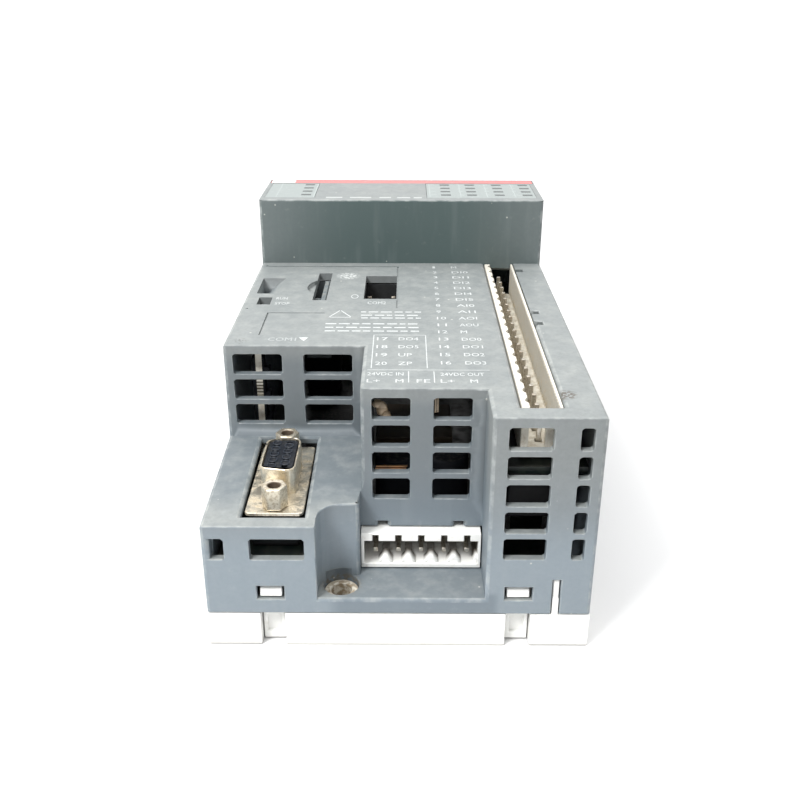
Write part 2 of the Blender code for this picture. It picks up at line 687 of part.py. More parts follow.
def can_profile(radius, low, high):
    neck = radius - 0.5
    points = [(0.0, low), (neck, low), (radius, low + 0.6), (radius, low + 2.2), (neck, low + 2.8)]
    points += [(radius, low + 3.4), (radius, high - 0.6), (neck, high), (0.0, high)]
    return points


def transformer():
    core = block("power_transformer", (-5.6, -33.0, 12.4), (12.6, -14.0, 15.4))
    adds = tool_set("transformer_adds")
    tool_blocks(adds, [((-3.6, -31.0, 15.0), (10.6, -16.0, 31.0))])
    tool_blocks(adds, [((-5.6, -33.0, 30.6), (12.6, -14.0, 33.6))])
    tool_blocks(adds, [((-5.6, -26.5, 15.0), (12.6, -20.5, 31.0))])
    return combine(core, adds, "UNION")


def relay(name, y):
    return block(name, (23.2, y, 27.0), (36.4, y + 12.4, 41.0))


def led_board():
    top = LED_BOARD[1][2]
    spans = [LED_BOARD]
    for x in LED_COLUMNS:
        for y in LED_ROWS:
            spans.append(((x - 0.8, y - 0.6, top - 0.4), (x + 0.8, y + 0.6, top + 1.1)))
    return joined("led_board", spans)


def light_guide(name, columns):
    """Clear comb: one bar with a finger to each indicator."""
    z0 = LED_BOARD[1][2] + 1.6
    low, high = min(columns) - 1.0, max(columns) + 1.0
    spans = [((low, LED_ROWS[-1] - 0.6, 64.0), (high, LED_ROWS[0] + 0.6, 65.2))]
    for x in columns:
        for y in LED_ROWS:
            spans.append(((x - 1.0, y - 0.6, z0), (x + 1.0, y + 0.6, 73.4)))
    return joined(name, spans)


def build():
    grey = material("cover_grey", (0.42, 0.47, 0.48), 0.55)
    white = material("base_white", (0.78, 0.78, 0.74), 0.5)
    cream = material("header_cream", (0.76, 0.71, 0.58), 0.55)
    milk = material("header_white", (0.82, 0.82, 0.78), 0.5)
    tin = material("tinned_pins", (0.62, 0.62, 0.6), 0.35, 1.0)
    nickel = material("nickel_shell", (0.66, 0.62, 0.52), 0.4, 1.0)
    steel = material("screw_steel", (0.55, 0.55, 0.55), 0.35, 1.0)
    dark = material("port_insert_dark", (0.04, 0.05, 0.08), 0.5)
    gold = material("contact_gold", (0.8, 0.6, 0.25), 0.3, 1.0)
    black = material("black_plastic", (0.03, 0.03, 0.03), 0.5)
    green = material("board_green", (0.05, 0.2, 0.1), 0.45)
    film = material("panel_film", (0.7, 0.73, 0.7), 0.4)
    red = material("stripe_red", (0.55, 0.05, 0.05), 0.4)
    clear = material("guide_clear", (0.8, 0.82, 0.8), 0.15)
    sleeve = material("can_sleeve", (0.05, 0.07, 0.12), 0.35)
    tan = material("winding_tan", (0.6, 0.42, 0.2), 0.6)
    paint(top_cover(), grey)
    paint(base_shell(), white)
    paint(latch("rail_latch_left", LATCH_X[0]), white)
    paint(latch("rail_latch_right", LATCH_X[1]), white)
    paint(latch_spring("latch_spring_left", LATCH_X[0]), steel)
    paint(latch_spring("latch_spring_right", LATCH_X[1]), steel)
    paint(io_header(), cream)
    paint(io_pins(), tin)
    paint(supply_header(), milk)
    paint(supply_pins(), tin)
    paint(port_shell(), nickel)
    paint(port_insert(), dark)
    paint(port_contacts(), gold)
    paint(port_bracket(), black)
    for name, y in zip(("port_jackscrew_near", "port_jackscrew_far"), SCREW_Y):
        paint(jackscrew(name, y), nickel)
    paint(switch_body(), black)
    paint(run_stop_slider(), white)
    paint(service_socket(), black)
    paint(service_contacts(), tin)
    paint(card_guide(), milk)
    paint(bus_socket(), black)
    paint(bus_contacts(), gold)
    holes = [(x, y, 1.5) for x, y in BOARD_SCREWS]
    paint(board("main_board", MAIN_BOARD, holes), green)
    paint(board("port_board", PORT_BOARD, []), green)
    paint(board("io_board", IO_BOARD, []), green)
    paint(led_board(), green)
    for i, (x, y) in enumerate(BOARD_SCREWS):
        paint(board_screw(f"board_screw_{i + 1}", x, y), steel)
    for i, (x, y, top) in enumerate(SPACERS):
        paint(spacer(f"board_spacer_{i + 1}", x, y, top), tin)
    paint(stacking_header(), tan)
    for i, (x, y, radius, top) in enumerate(CAPACITORS):
        paint(capacitor(f"smoothing_capacitor_{i + 1}", x, y, radius, top), sleeve)
    paint(transformer(), tan)
    for i, y in enumerate(RELAY_Y):
        paint(relay(f"output_relay_{i + 1}", y), sleeve)
    low = MAIN_BOARD[1][2] + 0.25
    paint(block("processor_chip", (-26.0, 0.0, low), (-6.0, 20.0, low + 3.0)), black)
    low = PORT_BOARD[1][2] + 0.25
    paint(block("driver_chip", (-34.5, -19.5, low), (-24.0, -12.0, low + 2.2)), black)
    paint(light_guide("light_guide_left", LED_COLUMNS[:1]), clear)
    paint(light_guide("light_guide_right", LED_COLUMNS[1:]), clear)
    paint(block("status_label_left", (-39.85, 42.35, 73.65), (-25.45, 62.15, 73.95)), film)
    paint(block("status_label_right", (7.55, 42.35, 73.65), (39.55, 62.15, 73.95)), film)
    paint(block("head_stripe", (-40.75, 62.95, 73.65), (40.75, 66.95, 73.95)), red)


build()
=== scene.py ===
"""Looks of a rail-mounted controller module: plastics, metals, print, light and camera."""

import json
import math

import bmesh
import bpy
from mathutils import Matrix, Vector

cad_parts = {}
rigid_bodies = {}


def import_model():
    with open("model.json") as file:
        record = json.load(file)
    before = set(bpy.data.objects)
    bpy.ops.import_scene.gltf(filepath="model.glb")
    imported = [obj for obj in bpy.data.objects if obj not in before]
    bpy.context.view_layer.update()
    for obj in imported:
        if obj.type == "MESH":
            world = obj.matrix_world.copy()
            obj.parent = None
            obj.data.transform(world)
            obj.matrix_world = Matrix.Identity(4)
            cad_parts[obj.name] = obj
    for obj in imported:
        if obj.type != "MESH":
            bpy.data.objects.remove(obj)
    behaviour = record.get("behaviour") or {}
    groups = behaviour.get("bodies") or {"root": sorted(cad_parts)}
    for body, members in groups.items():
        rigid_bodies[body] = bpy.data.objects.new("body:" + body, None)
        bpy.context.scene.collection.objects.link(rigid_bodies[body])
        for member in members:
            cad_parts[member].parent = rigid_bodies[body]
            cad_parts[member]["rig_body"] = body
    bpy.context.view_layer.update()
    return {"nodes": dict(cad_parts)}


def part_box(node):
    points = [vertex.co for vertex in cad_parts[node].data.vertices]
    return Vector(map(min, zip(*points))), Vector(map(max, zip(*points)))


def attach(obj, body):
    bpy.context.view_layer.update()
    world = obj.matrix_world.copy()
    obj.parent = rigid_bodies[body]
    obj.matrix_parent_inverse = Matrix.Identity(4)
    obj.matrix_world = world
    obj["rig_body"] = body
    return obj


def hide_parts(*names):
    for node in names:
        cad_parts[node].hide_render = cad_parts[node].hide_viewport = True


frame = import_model()

MM = 0.001
NODES = frame["nodes"]
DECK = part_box("io_header_body")[1].z / MM + 0.1
COVER_LOW, COVER_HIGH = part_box("top_cover")
HEAD = COVER_HIGH.z / MM
SIDE = COVER_HIGH.x / MM
NEAR_END, FAR_END = COVER_LOW.y / MM, COVER_HIGH.y / MM
HEAD_FRONT = 39.0
POST = (-12.5, -62.0)
JACKSCREWS = ((-26.5, -58.5), (-26.5, -33.5))
INK = 0.015


class Value:
    """A shader socket that takes part in sums."""

    def __init__(self, shader, socket):
        self.shader = shader
        self.socket = socket

    def _sum(self, operation, a, b):
        made = self.shader.node("ShaderNodeMath", {"operation": operation}, {0: a, 1: b})
        return Value(self.shader, made.outputs[0])

    def __add__(self, other):
        return self._sum("ADD", self, other)

    def __radd__(self, other):
        return self._sum("ADD", other, self)

    def __sub__(self, other):
        return self._sum("SUBTRACT", self, other)

    def __rsub__(self, other):
        return self._sum("SUBTRACT", other, self)

    def __mul__(self, other):
        return self._sum("MULTIPLY", self, other)

    def __rmul__(self, other):
        return self._sum("MULTIPLY", other, self)

    def most(self, other):
        return self._sum("MAXIMUM", self, other)


class Shader:
    """One material, with short names for the nodes that it is made of."""

    def __init__(self, name):
        self.material = bpy.data.materials.new(name)
        self.material.use_nodes = True
        self.tree = self.material.node_tree
        self.surface = self.tree.nodes["Principled BSDF"]
        self.place = self.node("ShaderNodeTexCoord").outputs["Object"]

    def node(self, kind, settings=None, sockets=None):
        made = self.tree.nodes.new(kind)
        for key, value in (settings or {}).items():
            if key == "stops":
                self.set_stops(made.color_ramp, value)
            else:
                setattr(made, key, value)
        for key, value in (sockets or {}).items():
            self.plug(made.inputs[key], value)
        return made

    def plug(self, target, value):
        if isinstance(value, Value):
            value = value.socket
        if isinstance(value, bpy.types.NodeSocket):
            self.tree.links.new(target, value)
        else:
            target.default_value = value

    def set_stops(self, ramp, stops):
        ramp.elements.remove(ramp.elements[1])
        ramp.elements[0].position = stops[0][0]
        ramp.elements[0].color = (*stops[0][1], 1.0)
        for position, colour in stops[1:]:
            ramp.elements.new(position).color = (*colour, 1.0)

    def noise(self, feature_mm, detail=3.0, roughness=0.55, stretch=(1.0, 1.0, 1.0)):
        """Cloudy pattern whose blotches are about feature_mm wide."""
        place = self.node("ShaderNodeMapping", None, {0: self.place, "Scale": stretch})
        sockets = {"Vector": place.outputs[0], "Scale": 1.0 / (feature_mm * MM)}
        sockets.update({"Detail": detail, "Roughness": roughness})
        made = self.node("ShaderNodeTexNoise", {"noise_dimensions": "3D"}, sockets)
        return Value(self, made.outputs[0])

    def cells(self, feature_mm):
        sockets = {"Vector": self.place, "Scale": 1.0 / (feature_mm * MM)}
        made = self.node("ShaderNodeTexVoronoi", {"feature": "F1"}, sockets)
        return Value(self, made.outputs["Distance"])

    def between(self, value, low, high):
        """0 below low, 1 above high, a smooth step between."""
        sockets = {0: value, 1: low, 2: high, 3: 0.0, 4: 1.0}
        settings = {"interpolation_type": "SMOOTHSTEP", "clamp": True}
        made = self.node("ShaderNodeMapRange", settings, sockets)
        return Value(self, made.outputs[0])

    def blend(self, share, one, two):
        sockets = {0: share, 6: (*one, 1.0) if isinstance(one, tuple) else one}
        sockets[7] = (*two, 1.0) if isinstance(two, tuple) else two
        settings = {"data_type": "RGBA", "clamp_factor": True}
        return self.node("ShaderNodeMix", settings, sockets).outputs[2]

    def axis(self, letter, source=None):
        split = self.node("ShaderNodeSeparateXYZ", None, {0: source or self.place})
        return Value(self, split.outputs["XYZ".index(letter)])

    def facing(self, letter, sign=1.0):
        """1 where the surface faces along an axis, 0 where it faces elsewhere."""
        normal = self.node("ShaderNodeNewGeometry").outputs["True Normal"]
        return self.between(self.axis(letter, normal) * sign, 0.55, 0.9)

    def above(self, letter, low_mm, high_mm):
        return self.between(self.axis(letter), low_mm * MM, high_mm * MM)

    def near(self, x, y, inner_mm, outer_mm):
        """1 round the vertical line through x, y, fading to 0 at outer_mm."""
        dx = self.axis("X") - x * MM
        dy = self.axis("Y") - y * MM
        far = self.node("ShaderNodeMath", {"operation": "SQRT"}, {0: dx * dx + dy * dy})
        return 1.0 - self.between(Value(self, far.outputs[0]), inner_mm * MM, outer_mm * MM)

    def bump(self, height, strength, depth_mm):
        sockets = {"Height": height, "Strength": strength, "Distance": depth_mm * MM}
        made = self.node("ShaderNodeBump", None, sockets)
        self.plug(self.surface.inputs["Normal"], made.outputs[0])

    def finish(self, colour, roughness, metallic=0.0, specular=0.5):
        self.plug(self.surface.inputs["Base Color"], colour)
        self.plug(self.surface.inputs["Roughness"], roughness)
        self.plug(self.surface.inputs["Metallic"], metallic)
        self.surface.inputs["Specular IOR Level"].default_value = specular
        return self.material


def housing_plastic(name, worn, dusty):
    """Grey-green moulded plastic; worn and dusty say how far its colour is paled. Painted shade darkens
    the faces behind the front blocks, the foot ledge, the higher front faces and the head's front, a
    painted bluish reflection tints the low upright faces, and the paling is also a painted highlight on
    edges and painted light on sills.
    """
    sh = Shader(name)
    blotch = sh.between(sh.noise(26.0, 4.0, 0.5), 0.25, 0.75)
    mottle = sh.between(sh.noise(2.6, 4.0, 0.6), 0.35, 0.72)
    colour = sh.blend(blotch, (0.200, 0.219, 0.220), (0.230, 0.246, 0.244))
    colour = sh.blend(mottle * 0.4, colour, (0.275, 0.295, 0.292))
    grain = sh.between(sh.noise(0.9, 2.0), 0.42, 0.66)
    colour = sh.blend(grain * 0.22, colour, (0.150, 0.165, 0.165))
    # Painted bluish reflection: the low upright faces are tinted blue-grey.
    low = 1.0 - sh.above("Z", 24.0, 50.0)
    upright = 1.0 - sh.facing("Z")
    colour = sh.blend(low * upright * 0.6, colour, (0.200, 0.252, 0.300))
    # Painted shade: below the deck, everything behind the front blocks is darkened toward a dark
    # blue-grey.
    recess_shade = sh.above("Y", -64.0, -52.0) * (1.0 - sh.above("Z", 50.0, 54.0))
    colour = sh.blend(recess_shade * 0.6, colour, (0.085, 0.112, 0.135))
    # Painted shade: the low ledge between the blocks, at the foot of the walls, is darkened.
    between_blocks = sh.above("X", -16.0, -12.0) * (1.0 - sh.above("X", 20.0, 22.0))
    foot_shade = (1.0 - sh.above("Z", 12.8, 14.5)) * between_blocks
    colour = sh.blend(foot_shade * 0.6, colour, (0.120, 0.150, 0.175))
    # Painted shade: front-facing faces higher up are darkened.
    high_front_shade = sh.facing("Y", -1.0) * sh.above("Z", 20.0, 38.0)
    colour = sh.blend(high_front_shade * 0.45, colour, (0.125, 0.138, 0.142))
    # Painted shade: the head's front face is darkened, most in its middle.
    deep_shade = sh.facing("Y", -1.0) * sh.above("Y", 30.0, 36.0)
    colour = sh.blend(deep_shade * (0.55 + 0.42 * sh.near(0.0, 39.0, 12.0, 42.0)), colour, (0.062, 0.092, 0.090))
    colour = streaks(sh, colour, upright)
    # Paler rubbed patches are real scuffs; on the edge copy they are also a painted highlight along the
    # rounded edges.
    rubbed = sh.between(sh.noise(2.6, 4.0), 0.62 - worn, 0.82 - 0.6 * worn)
    colour = sh.blend(rubbed * (0.16 + 0.8 * worn), colour, (0.42, 0.44, 0.43))
    # Dust on what faces up; on the sill copy it is near-white: real dust plus painted light on the window
    # sills.
    dust = sh.facing("Z") * sh.between(sh.noise(4.0, 5.0, 0.65), 0.40 - 0.4 * dusty, 0.75 - 0.3 * dusty)
    settled_dust_and_sill_light = (0.46, 0.47, 0.44) if dusty < 0.5 else (0.95, 0.95, 0.90)
    colour = sh.blend(dust * (0.2 + 0.75 * dusty), colour, settled_dust_and_sill_light)
    colour = stains(sh, colour)
    speck = 1.0 - sh.between(sh.cells(6.0), 0.03, 0.055)
    colour = sh.blend(speck * 0.6, colour, (0.60, 0.60, 0.55))
    sh.bump(sh.noise(0.35, 2.0), 0.12, 0.03)
    return sh.finish(colour, 0.44 + 0.14 * blotch + 0.1 * dust)


def streaks(sh, colour, where):
    """Upright wipe marks and scuffs."""
    wipe = sh.between(sh.noise(3.4, 3.0, 0.5, (1.0, 1.0, 0.14)), 0.50, 0.78)
    return sh.blend(wipe * where * 0.10, colour, (0.30, 0.335, 0.345))


def stains(sh, colour):
    """Dirt round the mounting hole, a pale smear by the card slot and dark marks on the deck."""
    low = 1.0 - sh.above("Z", 11.5, 13.0)
    grime = sh.near(*POST, 3.4, 5.4) * sh.between(sh.noise(1.0, 3.0), 0.40, 0.6) * low
    colour = sh.blend(grime * 0.8, colour, (0.14, 0.11, 0.07))
    smear = sh.near(-15.0, 26.0, 1.5, 3.9) * sh.between(sh.noise(0.8, 3.0), 0.44, 0.56)
    colour = sh.blend(smear * 0.8, colour, (0.62, 0.64, 0.63))
    deck = sh.above("Z", 54.0, 55.0)
    marks = sh.near(34.5, -56.3, 1.2, 2.8) * sh.between(sh.noise(0.7, 2.0), 0.47, 0.50) * deck
    colour = sh.blend(marks * 0.85, colour, (0.10, 0.085, 0.07))
    dots = sh.near(-37.4, -26.4, 0.8, 2.6) * sh.between(sh.noise(0.5, 2.0), 0.56, 0.62) * deck
    return sh.blend(dots * 0.8, colour, (0.08, 0.08, 0.075))


def tray_plastic(name, worn):
    """Off-white moulded plastic of the base and latches."""
    sh = Shader(name)
    blotch = sh.noise(20.0, 4.0)
    colour = sh.blend(blotch, (0.80, 0.80, 0.77), (0.86, 0.86, 0.84))
    stain = sh.between(sh.noise(3.0, 5.0), 0.60, 0.78)
    colour = sh.blend(stain * (0.35 + worn), colour, (0.58, 0.54, 0.45))
    ring_dust = sh.near(*POST, 4.0, 5.0)
    colour = sh.blend(ring_dust * 0.7, colour, (0.56, 0.51, 0.40))
    grime = sh.near(*POST, 2.4, 5.0) * sh.between(sh.noise(1.2, 4.0), 0.38, 0.58)
    colour = sh.blend(grime * 0.85, colour, (0.26, 0.19, 0.11))
    # Painted shadow: a darker line along the bottom edge, where the base meets the floor.
    foot_shade = 1.0 - sh.above("Z", 0.25, 0.8)
    colour = sh.blend(foot_shade * 0.55, colour, (0.40, 0.38, 0.34))
    sh.bump(sh.noise(0.4, 2.0), 0.1, 0.03)
    return sh.finish(colour, 0.38 + 0.2 * blotch)


def aged_cream(name, dirt, tone=1.0):
    """Cream terminal plastic with brown dirt, more of it low down."""
    sh = Shader(name)
    dull, clean = [tuple(tone * c for c in cream) for cream in ((0.66, 0.63, 0.55), (0.78, 0.75, 0.67))]
    low = 1.0 - sh.above("Z", 45.5, 51.0)
    cloud = sh.noise(1.2, 5.0, 0.65)
    colour = sh.blend(sh.noise(9.0, 3.0), dull, clean)
    colour = sh.blend(sh.between(cloud + 0.14 * low, 0.52, 0.78) * dirt, colour, (0.40, 0.33, 0.22))
    streak = sh.between(sh.noise(0.8, 3.0, 0.5, (1.0, 1.0, 0.15)), 0.52, 0.72)
    colour = sh.blend(streak * 0.3, colour, (0.42, 0.35, 0.24))
    sh.bump(cloud, 0.15, 0.05)
    return sh.finish(colour, 0.45 + 0.25 * cloud)


def white_terminal(name):
    """White terminal plastic, yellowed a little, with painted shade inside its mouth."""
    sh = Shader(name)
    cloud = sh.noise(2.5, 4.0)
    colour = sh.blend(cloud, (0.80, 0.80, 0.76), (0.88, 0.88, 0.86))
    stain = sh.between(sh.noise(1.3, 4.0), 0.58, 0.76)
    colour = sh.blend(stain * 0.35, colour, (0.50, 0.43, 0.32))
    # Painted shade: the inside of the header's mouth, between its floor and roof, is made near-black
    # brown.
    inside = sh.above("Y", -55.6, -53.2) * sh.above("Z", 13.0, 14.6) * (1.0 - sh.above("Z", 19.6, 20.6))
    colour = sh.blend(inside * 0.9, colour, (0.12, 0.10, 0.08))
    sh.bump(sh.noise(0.4, 2.0), 0.1, 0.03)
    return sh.finish(colour, 0.35 + 0.25 * cloud)


def plated_metal(name, bright, dull, tarnish, rough=0.3, grain_mm=0.6):
    """Plated metal with dull oxide patches, fine brown spots and dust."""
    sh = Shader(name)
    patches = sh.noise(5.0 * grain_mm, 4.0)
    grain = sh.noise(grain_mm, 4.0, 0.65)
    oxide = sh.between(0.5 * patches + 0.5 * grain, 0.42, 0.64)
    colour = sh.blend(oxide * tarnish, bright, dull)
    spots = sh.between(sh.noise(0.8 * grain_mm, 3.0), 0.56, 0.68) * patches
    colour = sh.blend(spots * tarnish, colour, (0.16, 0.11, 0.06))
    sh.bump(grain, 0.2, 0.03)
    metal = 1.0 - 0.7 * tarnish * oxide
    return sh.finish(colour, rough + 0.35 * oxide, metal)


def jackscrew_nickel(name):
    """Nickel of the hexagonal posts, with painted shade, dark brown, inside their threaded bores."""
    sh = Shader(name)
    grain = sh.noise(0.6, 4.0, 0.65)
    colour = sh.blend(sh.between(grain, 0.42, 0.66) * 0.8, (0.80, 0.74, 0.62), (0.48, 0.40, 0.28))
    # Painted shade: a dark brown, less metallic disc round each post's axis stands for the threaded hole;
    # the brown is partly real tarnish.
    near_bore, far_bore = [sh.near(x, y, 1.35, 1.75) for x, y in JACKSCREWS]
    bore = near_bore.most(far_bore)
    colour = sh.blend(bore * 0.9, colour, (0.10, 0.065, 0.04))
    sh.bump(grain, 0.2, 0.03)
    return sh.finish(colour, 0.34 + 0.3 * grain, 1.0 - 0.6 * bore)


def dark_plastic(name, colour, dusty, rough=0.45, shine=0.5):
    """Dark moulded plastic with dust on what faces up."""
    sh = Shader(name)
    cloud = sh.noise(2.2, 4.0)
    lighter = tuple(min(1.0, c * 1.6 + 0.01) for c in colour)
    shade = sh.blend(cloud, colour, lighter)
    dust = sh.facing("Z") * sh.between(sh.noise(1.1, 4.0), 0.42, 0.7)
    shade = sh.blend(dust * dusty, shade, (0.42, 0.38, 0.31))
    sh.bump(sh.noise(0.3, 2.0), 0.1, 0.02)
    return sh.finish(shade, rough + 0.2 * cloud, 0.0, shine)


def circuit_board(name):
    """Dark green lacquered board with copper runs under the lacquer."""
    sh = Shader(name)
    runs = sh.between(sh.noise(1.4, 0.0, 0.5, (1.0, 0.12, 1.0)), 0.54, 0.57)
    colour = sh.blend(runs, (0.005, 0.009, 0.008), (0.010, 0.015, 0.011))
    dust = sh.facing("Z") * sh.between(sh.noise(2.4, 4.0), 0.4, 0.7)
    colour = sh.blend(dust * 0.15, colour, (0.12, 0.10, 0.08))
    sh.bump(runs, 0.3, 0.04)
    return sh.finish(colour, 0.3 + 0.3 * dust)


def wound_tan(name, tape, band):
    """Tape and lacquer of coils, with darker bands."""
    sh = Shader(name)
    bands = sh.between(sh.noise(1.0, 0.0, 0.5, (0.05, 0.05, 1.0)), 0.48, 0.56)
    colour = sh.blend(bands, tape, band)
    cloud = sh.noise(2.0, 4.0)
    colour = sh.blend(sh.between(cloud, 0.45, 0.7) * 0.3, colour, tuple(1.3 * c for c in tape))
    sh.bump(bands, 0.4, 0.1)
    return sh.finish(colour, 0.4 + 0.25 * cloud)


def print_ink(name, colour, worn):
    """Printed paint, rubbed thin in places so that the plastic shows."""
    sh = Shader(name)
    rubbed = sh.between(sh.noise(0.9, 4.0), 0.50, 0.72)
    shade = sh.blend(rubbed * worn, colour, (0.42, 0.45, 0.45))
    return sh.finish(shade, 0.5 + 0.15 * rubbed)


def label_film(name, light, dark):
    """Matt printed film with a faint cloud and rubbed patches."""
    sh = Shader(name)
    cloud = sh.noise(6.0, 4.0)
    shade = sh.blend(cloud, light, dark)
    rubbed = sh.between(sh.noise(1.8, 4.0), 0.6, 0.8)
    shade = sh.blend(rubbed * 0.3, shade, (0.72, 0.74, 0.72))
    sh.bump(sh.noise(0.5, 1.0), 0.05, 0.01)
    return sh.finish(shade, 0.28 + 0.2 * cloud)


def clear_plastic(name):
    """Clear light guide, milky with fine scratches."""
    sh = Shader(name)
    cloud = sh.noise(1.5, 3.0)
    shade = sh.blend(cloud, (0.75, 0.78, 0.77), (0.88, 0.9, 0.9))
    sh.surface.inputs["Transmission Weight"].default_value = 0.6
    sh.bump(cloud, 0.1, 0.02)
    return sh.finish(shade, 0.15 + 0.15 * cloud)


def paper_white(name):
    sh = Shader(name)
    shade = sh.blend(sh.noise(400.0, 2.0), (0.74, 0.74, 0.74), (0.76, 0.76, 0.76))
    return sh.finish(shade, 0.9)


def new_object(name, mesh):
    obj = bpy.data.objects.new(name, mesh)
    bpy.context.scene.collection.objects.link(obj)
    return obj


def baked(obj, name):
    """The evaluated object as one plain mesh object; the old one goes."""
    graph = bpy.context.evaluated_depsgraph_get()
    mesh = bpy.data.meshes.new_from_object(obj.evaluated_get(graph), depsgraph=graph)
    mesh.name = name
    mesh.transform(obj.matrix_world)
    bpy.data.objects.remove(obj, do_unlink=True)
    return new_object(name, mesh)


def narrowness(face):
    """About how wide a long thin face is, in millimetres."""
    longest = max(edge.calc_length() for edge in face.edges)
    return face.calc_area() / longest / MM


def plain_weight(edge):
    """Every sharp outward edge gets the same radius, unless a face beside it is too thin."""
    if min(narrowness(face) for face in edge.link_faces) < 0.5:
        return 0.0
    return 1.0


# Share of the full edge radius that each kind of edge gets.
OUTER, HEAD_EDGE, OPENING, CORNER, BACK, THIN = 0.8, 0.45, 0.28, 0.25, 0.22, 0.2
CORNER_X = -18.5
SMALL_FACE = 62e-6
WINDOW = 7
WINDOW_CORNER = 0.55
WALL = 2.0


def is_rim(place):
    """On the outline of the head's top."""
    return abs(place.x) > SIDE - 0.05 or place.y > FAR_END - 0.05


def is_outline(place):
    """On one of the cover's upright outer corners."""
    if abs(place.x) > SIDE - 0.25 and 9.0 < place.z < HEAD - 1.0:
        return place.y < NEAR_END + 0.5 or abs(place.y - HEAD_FRONT) < 0.2
    return abs(place.y - NEAR_END) < 0.1 and 17.5 < place.z < DECK - 1.0


def is_upright(edge, share):
    return abs(edge.verts[0].co.z - edge.verts[1].co.z) > share * edge.calc_length()


def is_deck_bay(place):
    """On the switch, card and service bays that are sunk in the deck."""
    return DECK - 3.0 < place.z < HEAD - 3.0 and abs(place.x) < 40.0 and 0.0 < place.y < 38.0


def cover_weight(edge):
    """Big radius on the housing's own corners, small round its openings, none in the grooves."""
    middle = (edge.verts[0].co + edge.verts[1].co) / 2 / MM
    if WINDOW in {face.material_index for face in edge.link_faces}:
        both = all(face.material_index == WINDOW for face in edge.link_faces)
        return 0.0 if both else THIN
    if middle.z > HEAD - 0.1:
        return HEAD_EDGE if abs(middle.y - HEAD_FRONT) < 0.1 else THIN if is_rim(middle) else 0.0
    if abs(middle.x - CORNER_X) < 3.5 and middle.y < -50.0 and middle.z > 9.0:
        return CORNER
    if is_upright(edge, 0.9) and is_outline(middle):
        return OUTER
    narrow = min(narrowness(face) for face in edge.link_faces)
    if narrow < 0.8 or edge.calc_length() < 0.6 * MM or is_deck_bay(middle):
        return 0.0
    if middle.y > FAR_END - 0.7:
        return BACK
    if is_upright(edge, 0.5) and middle.z > 9.0 and (middle.z > 17.5 or abs(middle.x) > SIDE - 0.25):
        return OUTER
    small = min(face.calc_area() for face in edge.link_faces) < SMALL_FACE
    return OPENING if small or middle.z < 9.0 else OUTER


def window_corners(bm):
    """The edges at the corners of every window that goes through an upright wall."""
    corners = []
    for edge in bm.edges:
        if len(edge.link_faces) != 2 or edge.calc_face_angle_signed() > math.radians(-80.0):
            continue
        place = edge.verts[0].co / MM
        across = abs(edge.calc_length() / MM - WALL) < 0.08
        flat = abs(edge.verts[1].co.z / MM - place.z) < 0.1
        vent = 21.5 < place.z < DECK - 2.0 and not (abs(place.x - 5.0) < 13.0 and place.z < 24.0)
        if across and flat and vent:
            corners.append(edge)
    return corners


def wall_cuts(corners):
    """For each wall face plane: the lines along its windows' sides."""
    cuts = {}
    for edge in corners:
        along = edge.verts[1].co - edge.verts[0].co
        normal = max(range(3), key=lambda i: abs(along[i]))
        for vert in edge.verts:
            plane = (normal, round(vert.co[normal] / MM, 1))
            lines = cuts.setdefault(plane, set())
            for axis in range(3):
                if axis != normal:
                    lines.add((axis, round(vert.co[axis] / MM, 3)))
    return cuts


def in_plane(bm, plane):
    """The faces that lie in a wall face plane."""
    normal, place = plane
    faces = []
    for face in bm.faces:
        middle = face.calc_center_median()[normal] / MM
        if abs(face.normal[normal]) > 0.999 and abs(middle - place) < 0.06:
            faces.append(face)
    return faces


def head_cuts(bm):
    """The lines along the sides of the stripe's and labels' recesses in the head's top."""
    lines = set()
    for vert in bm.verts:
        x, y, z = vert.co / MM
        if abs(z - HEAD) < 0.05 and abs(x) < 41.1 and 40.0 < y < 67.3:
            lines.update({(0, round(x, 3)), (1, round(y, 3))})
    return {(2, round(HEAD, 1)): lines}


def grid_walls(bm):
    """Cuts each wall with windows, and the head's top, into rectangles: no face has a hole in it."""
    cuts = wall_cuts(window_corners(bm))
    cuts.update(head_cuts(bm))
    for plane, lines in cuts.items():
        for axis, place in sorted(lines):
            faces = in_plane(bm, plane)
            edges = {edge for face in faces for edge in face.edges}
            verts = {vert for face in faces for vert in face.verts}
            spot, normal = Vector(), Vector()
            spot[axis], normal[axis] = place * MM, 1.0
            bmesh.ops.bisect_plane(bm, geom=faces + list(edges) + list(verts), dist=0.0005 * MM,
                                   plane_co=spot, plane_no=normal)
        slanted = [edge for edge in bm.edges if is_slanted(edge, plane)]
        bmesh.ops.dissolve_edges(bm, edges=slanted)


def is_slanted(edge, plane):
    """An edge inside a wall face that runs neither upright nor level."""
    normal, place = plane
    if len(edge.link_faces) != 2 or edge.calc_face_angle(1.0) > 0.01:
        return False
    if abs(edge.verts[0].co[normal] / MM - place) > 0.06:
        return False
    along = edge.verts[1].co - edge.verts[0].co
    return sum(abs(along[i]) > 0.01 * MM for i in range(3)) > 1


def round_windows(bm):
    """Rounds the four corners of every window that goes through a wall."""
    grid_walls(bm)
    corners = window_corners(bm)
    for edge in corners:
        for face in edge.link_faces:
            face.material_index = WINDOW
    bmesh.ops.bevel(bm, geom=corners, offset=WINDOW_CORNER * MM, segments=3, profile=0.5,
                    affect="EDGES", clamp_overlap=False, material=WINDOW)


def base_weight(edge):
    """A wider radius round the underside, a narrow one elsewhere."""
    narrow = min(narrowness(face) for face in edge.link_faces)
    middle = (edge.verts[0].co + edge.verts[1].co) / 2 / MM
    if narrow < 0.5 or edge.calc_length() < 0.4 * MM:
        return 0.0
    return 0.5 if middle.z < 0.1 and narrow > 4.0 else 0.18


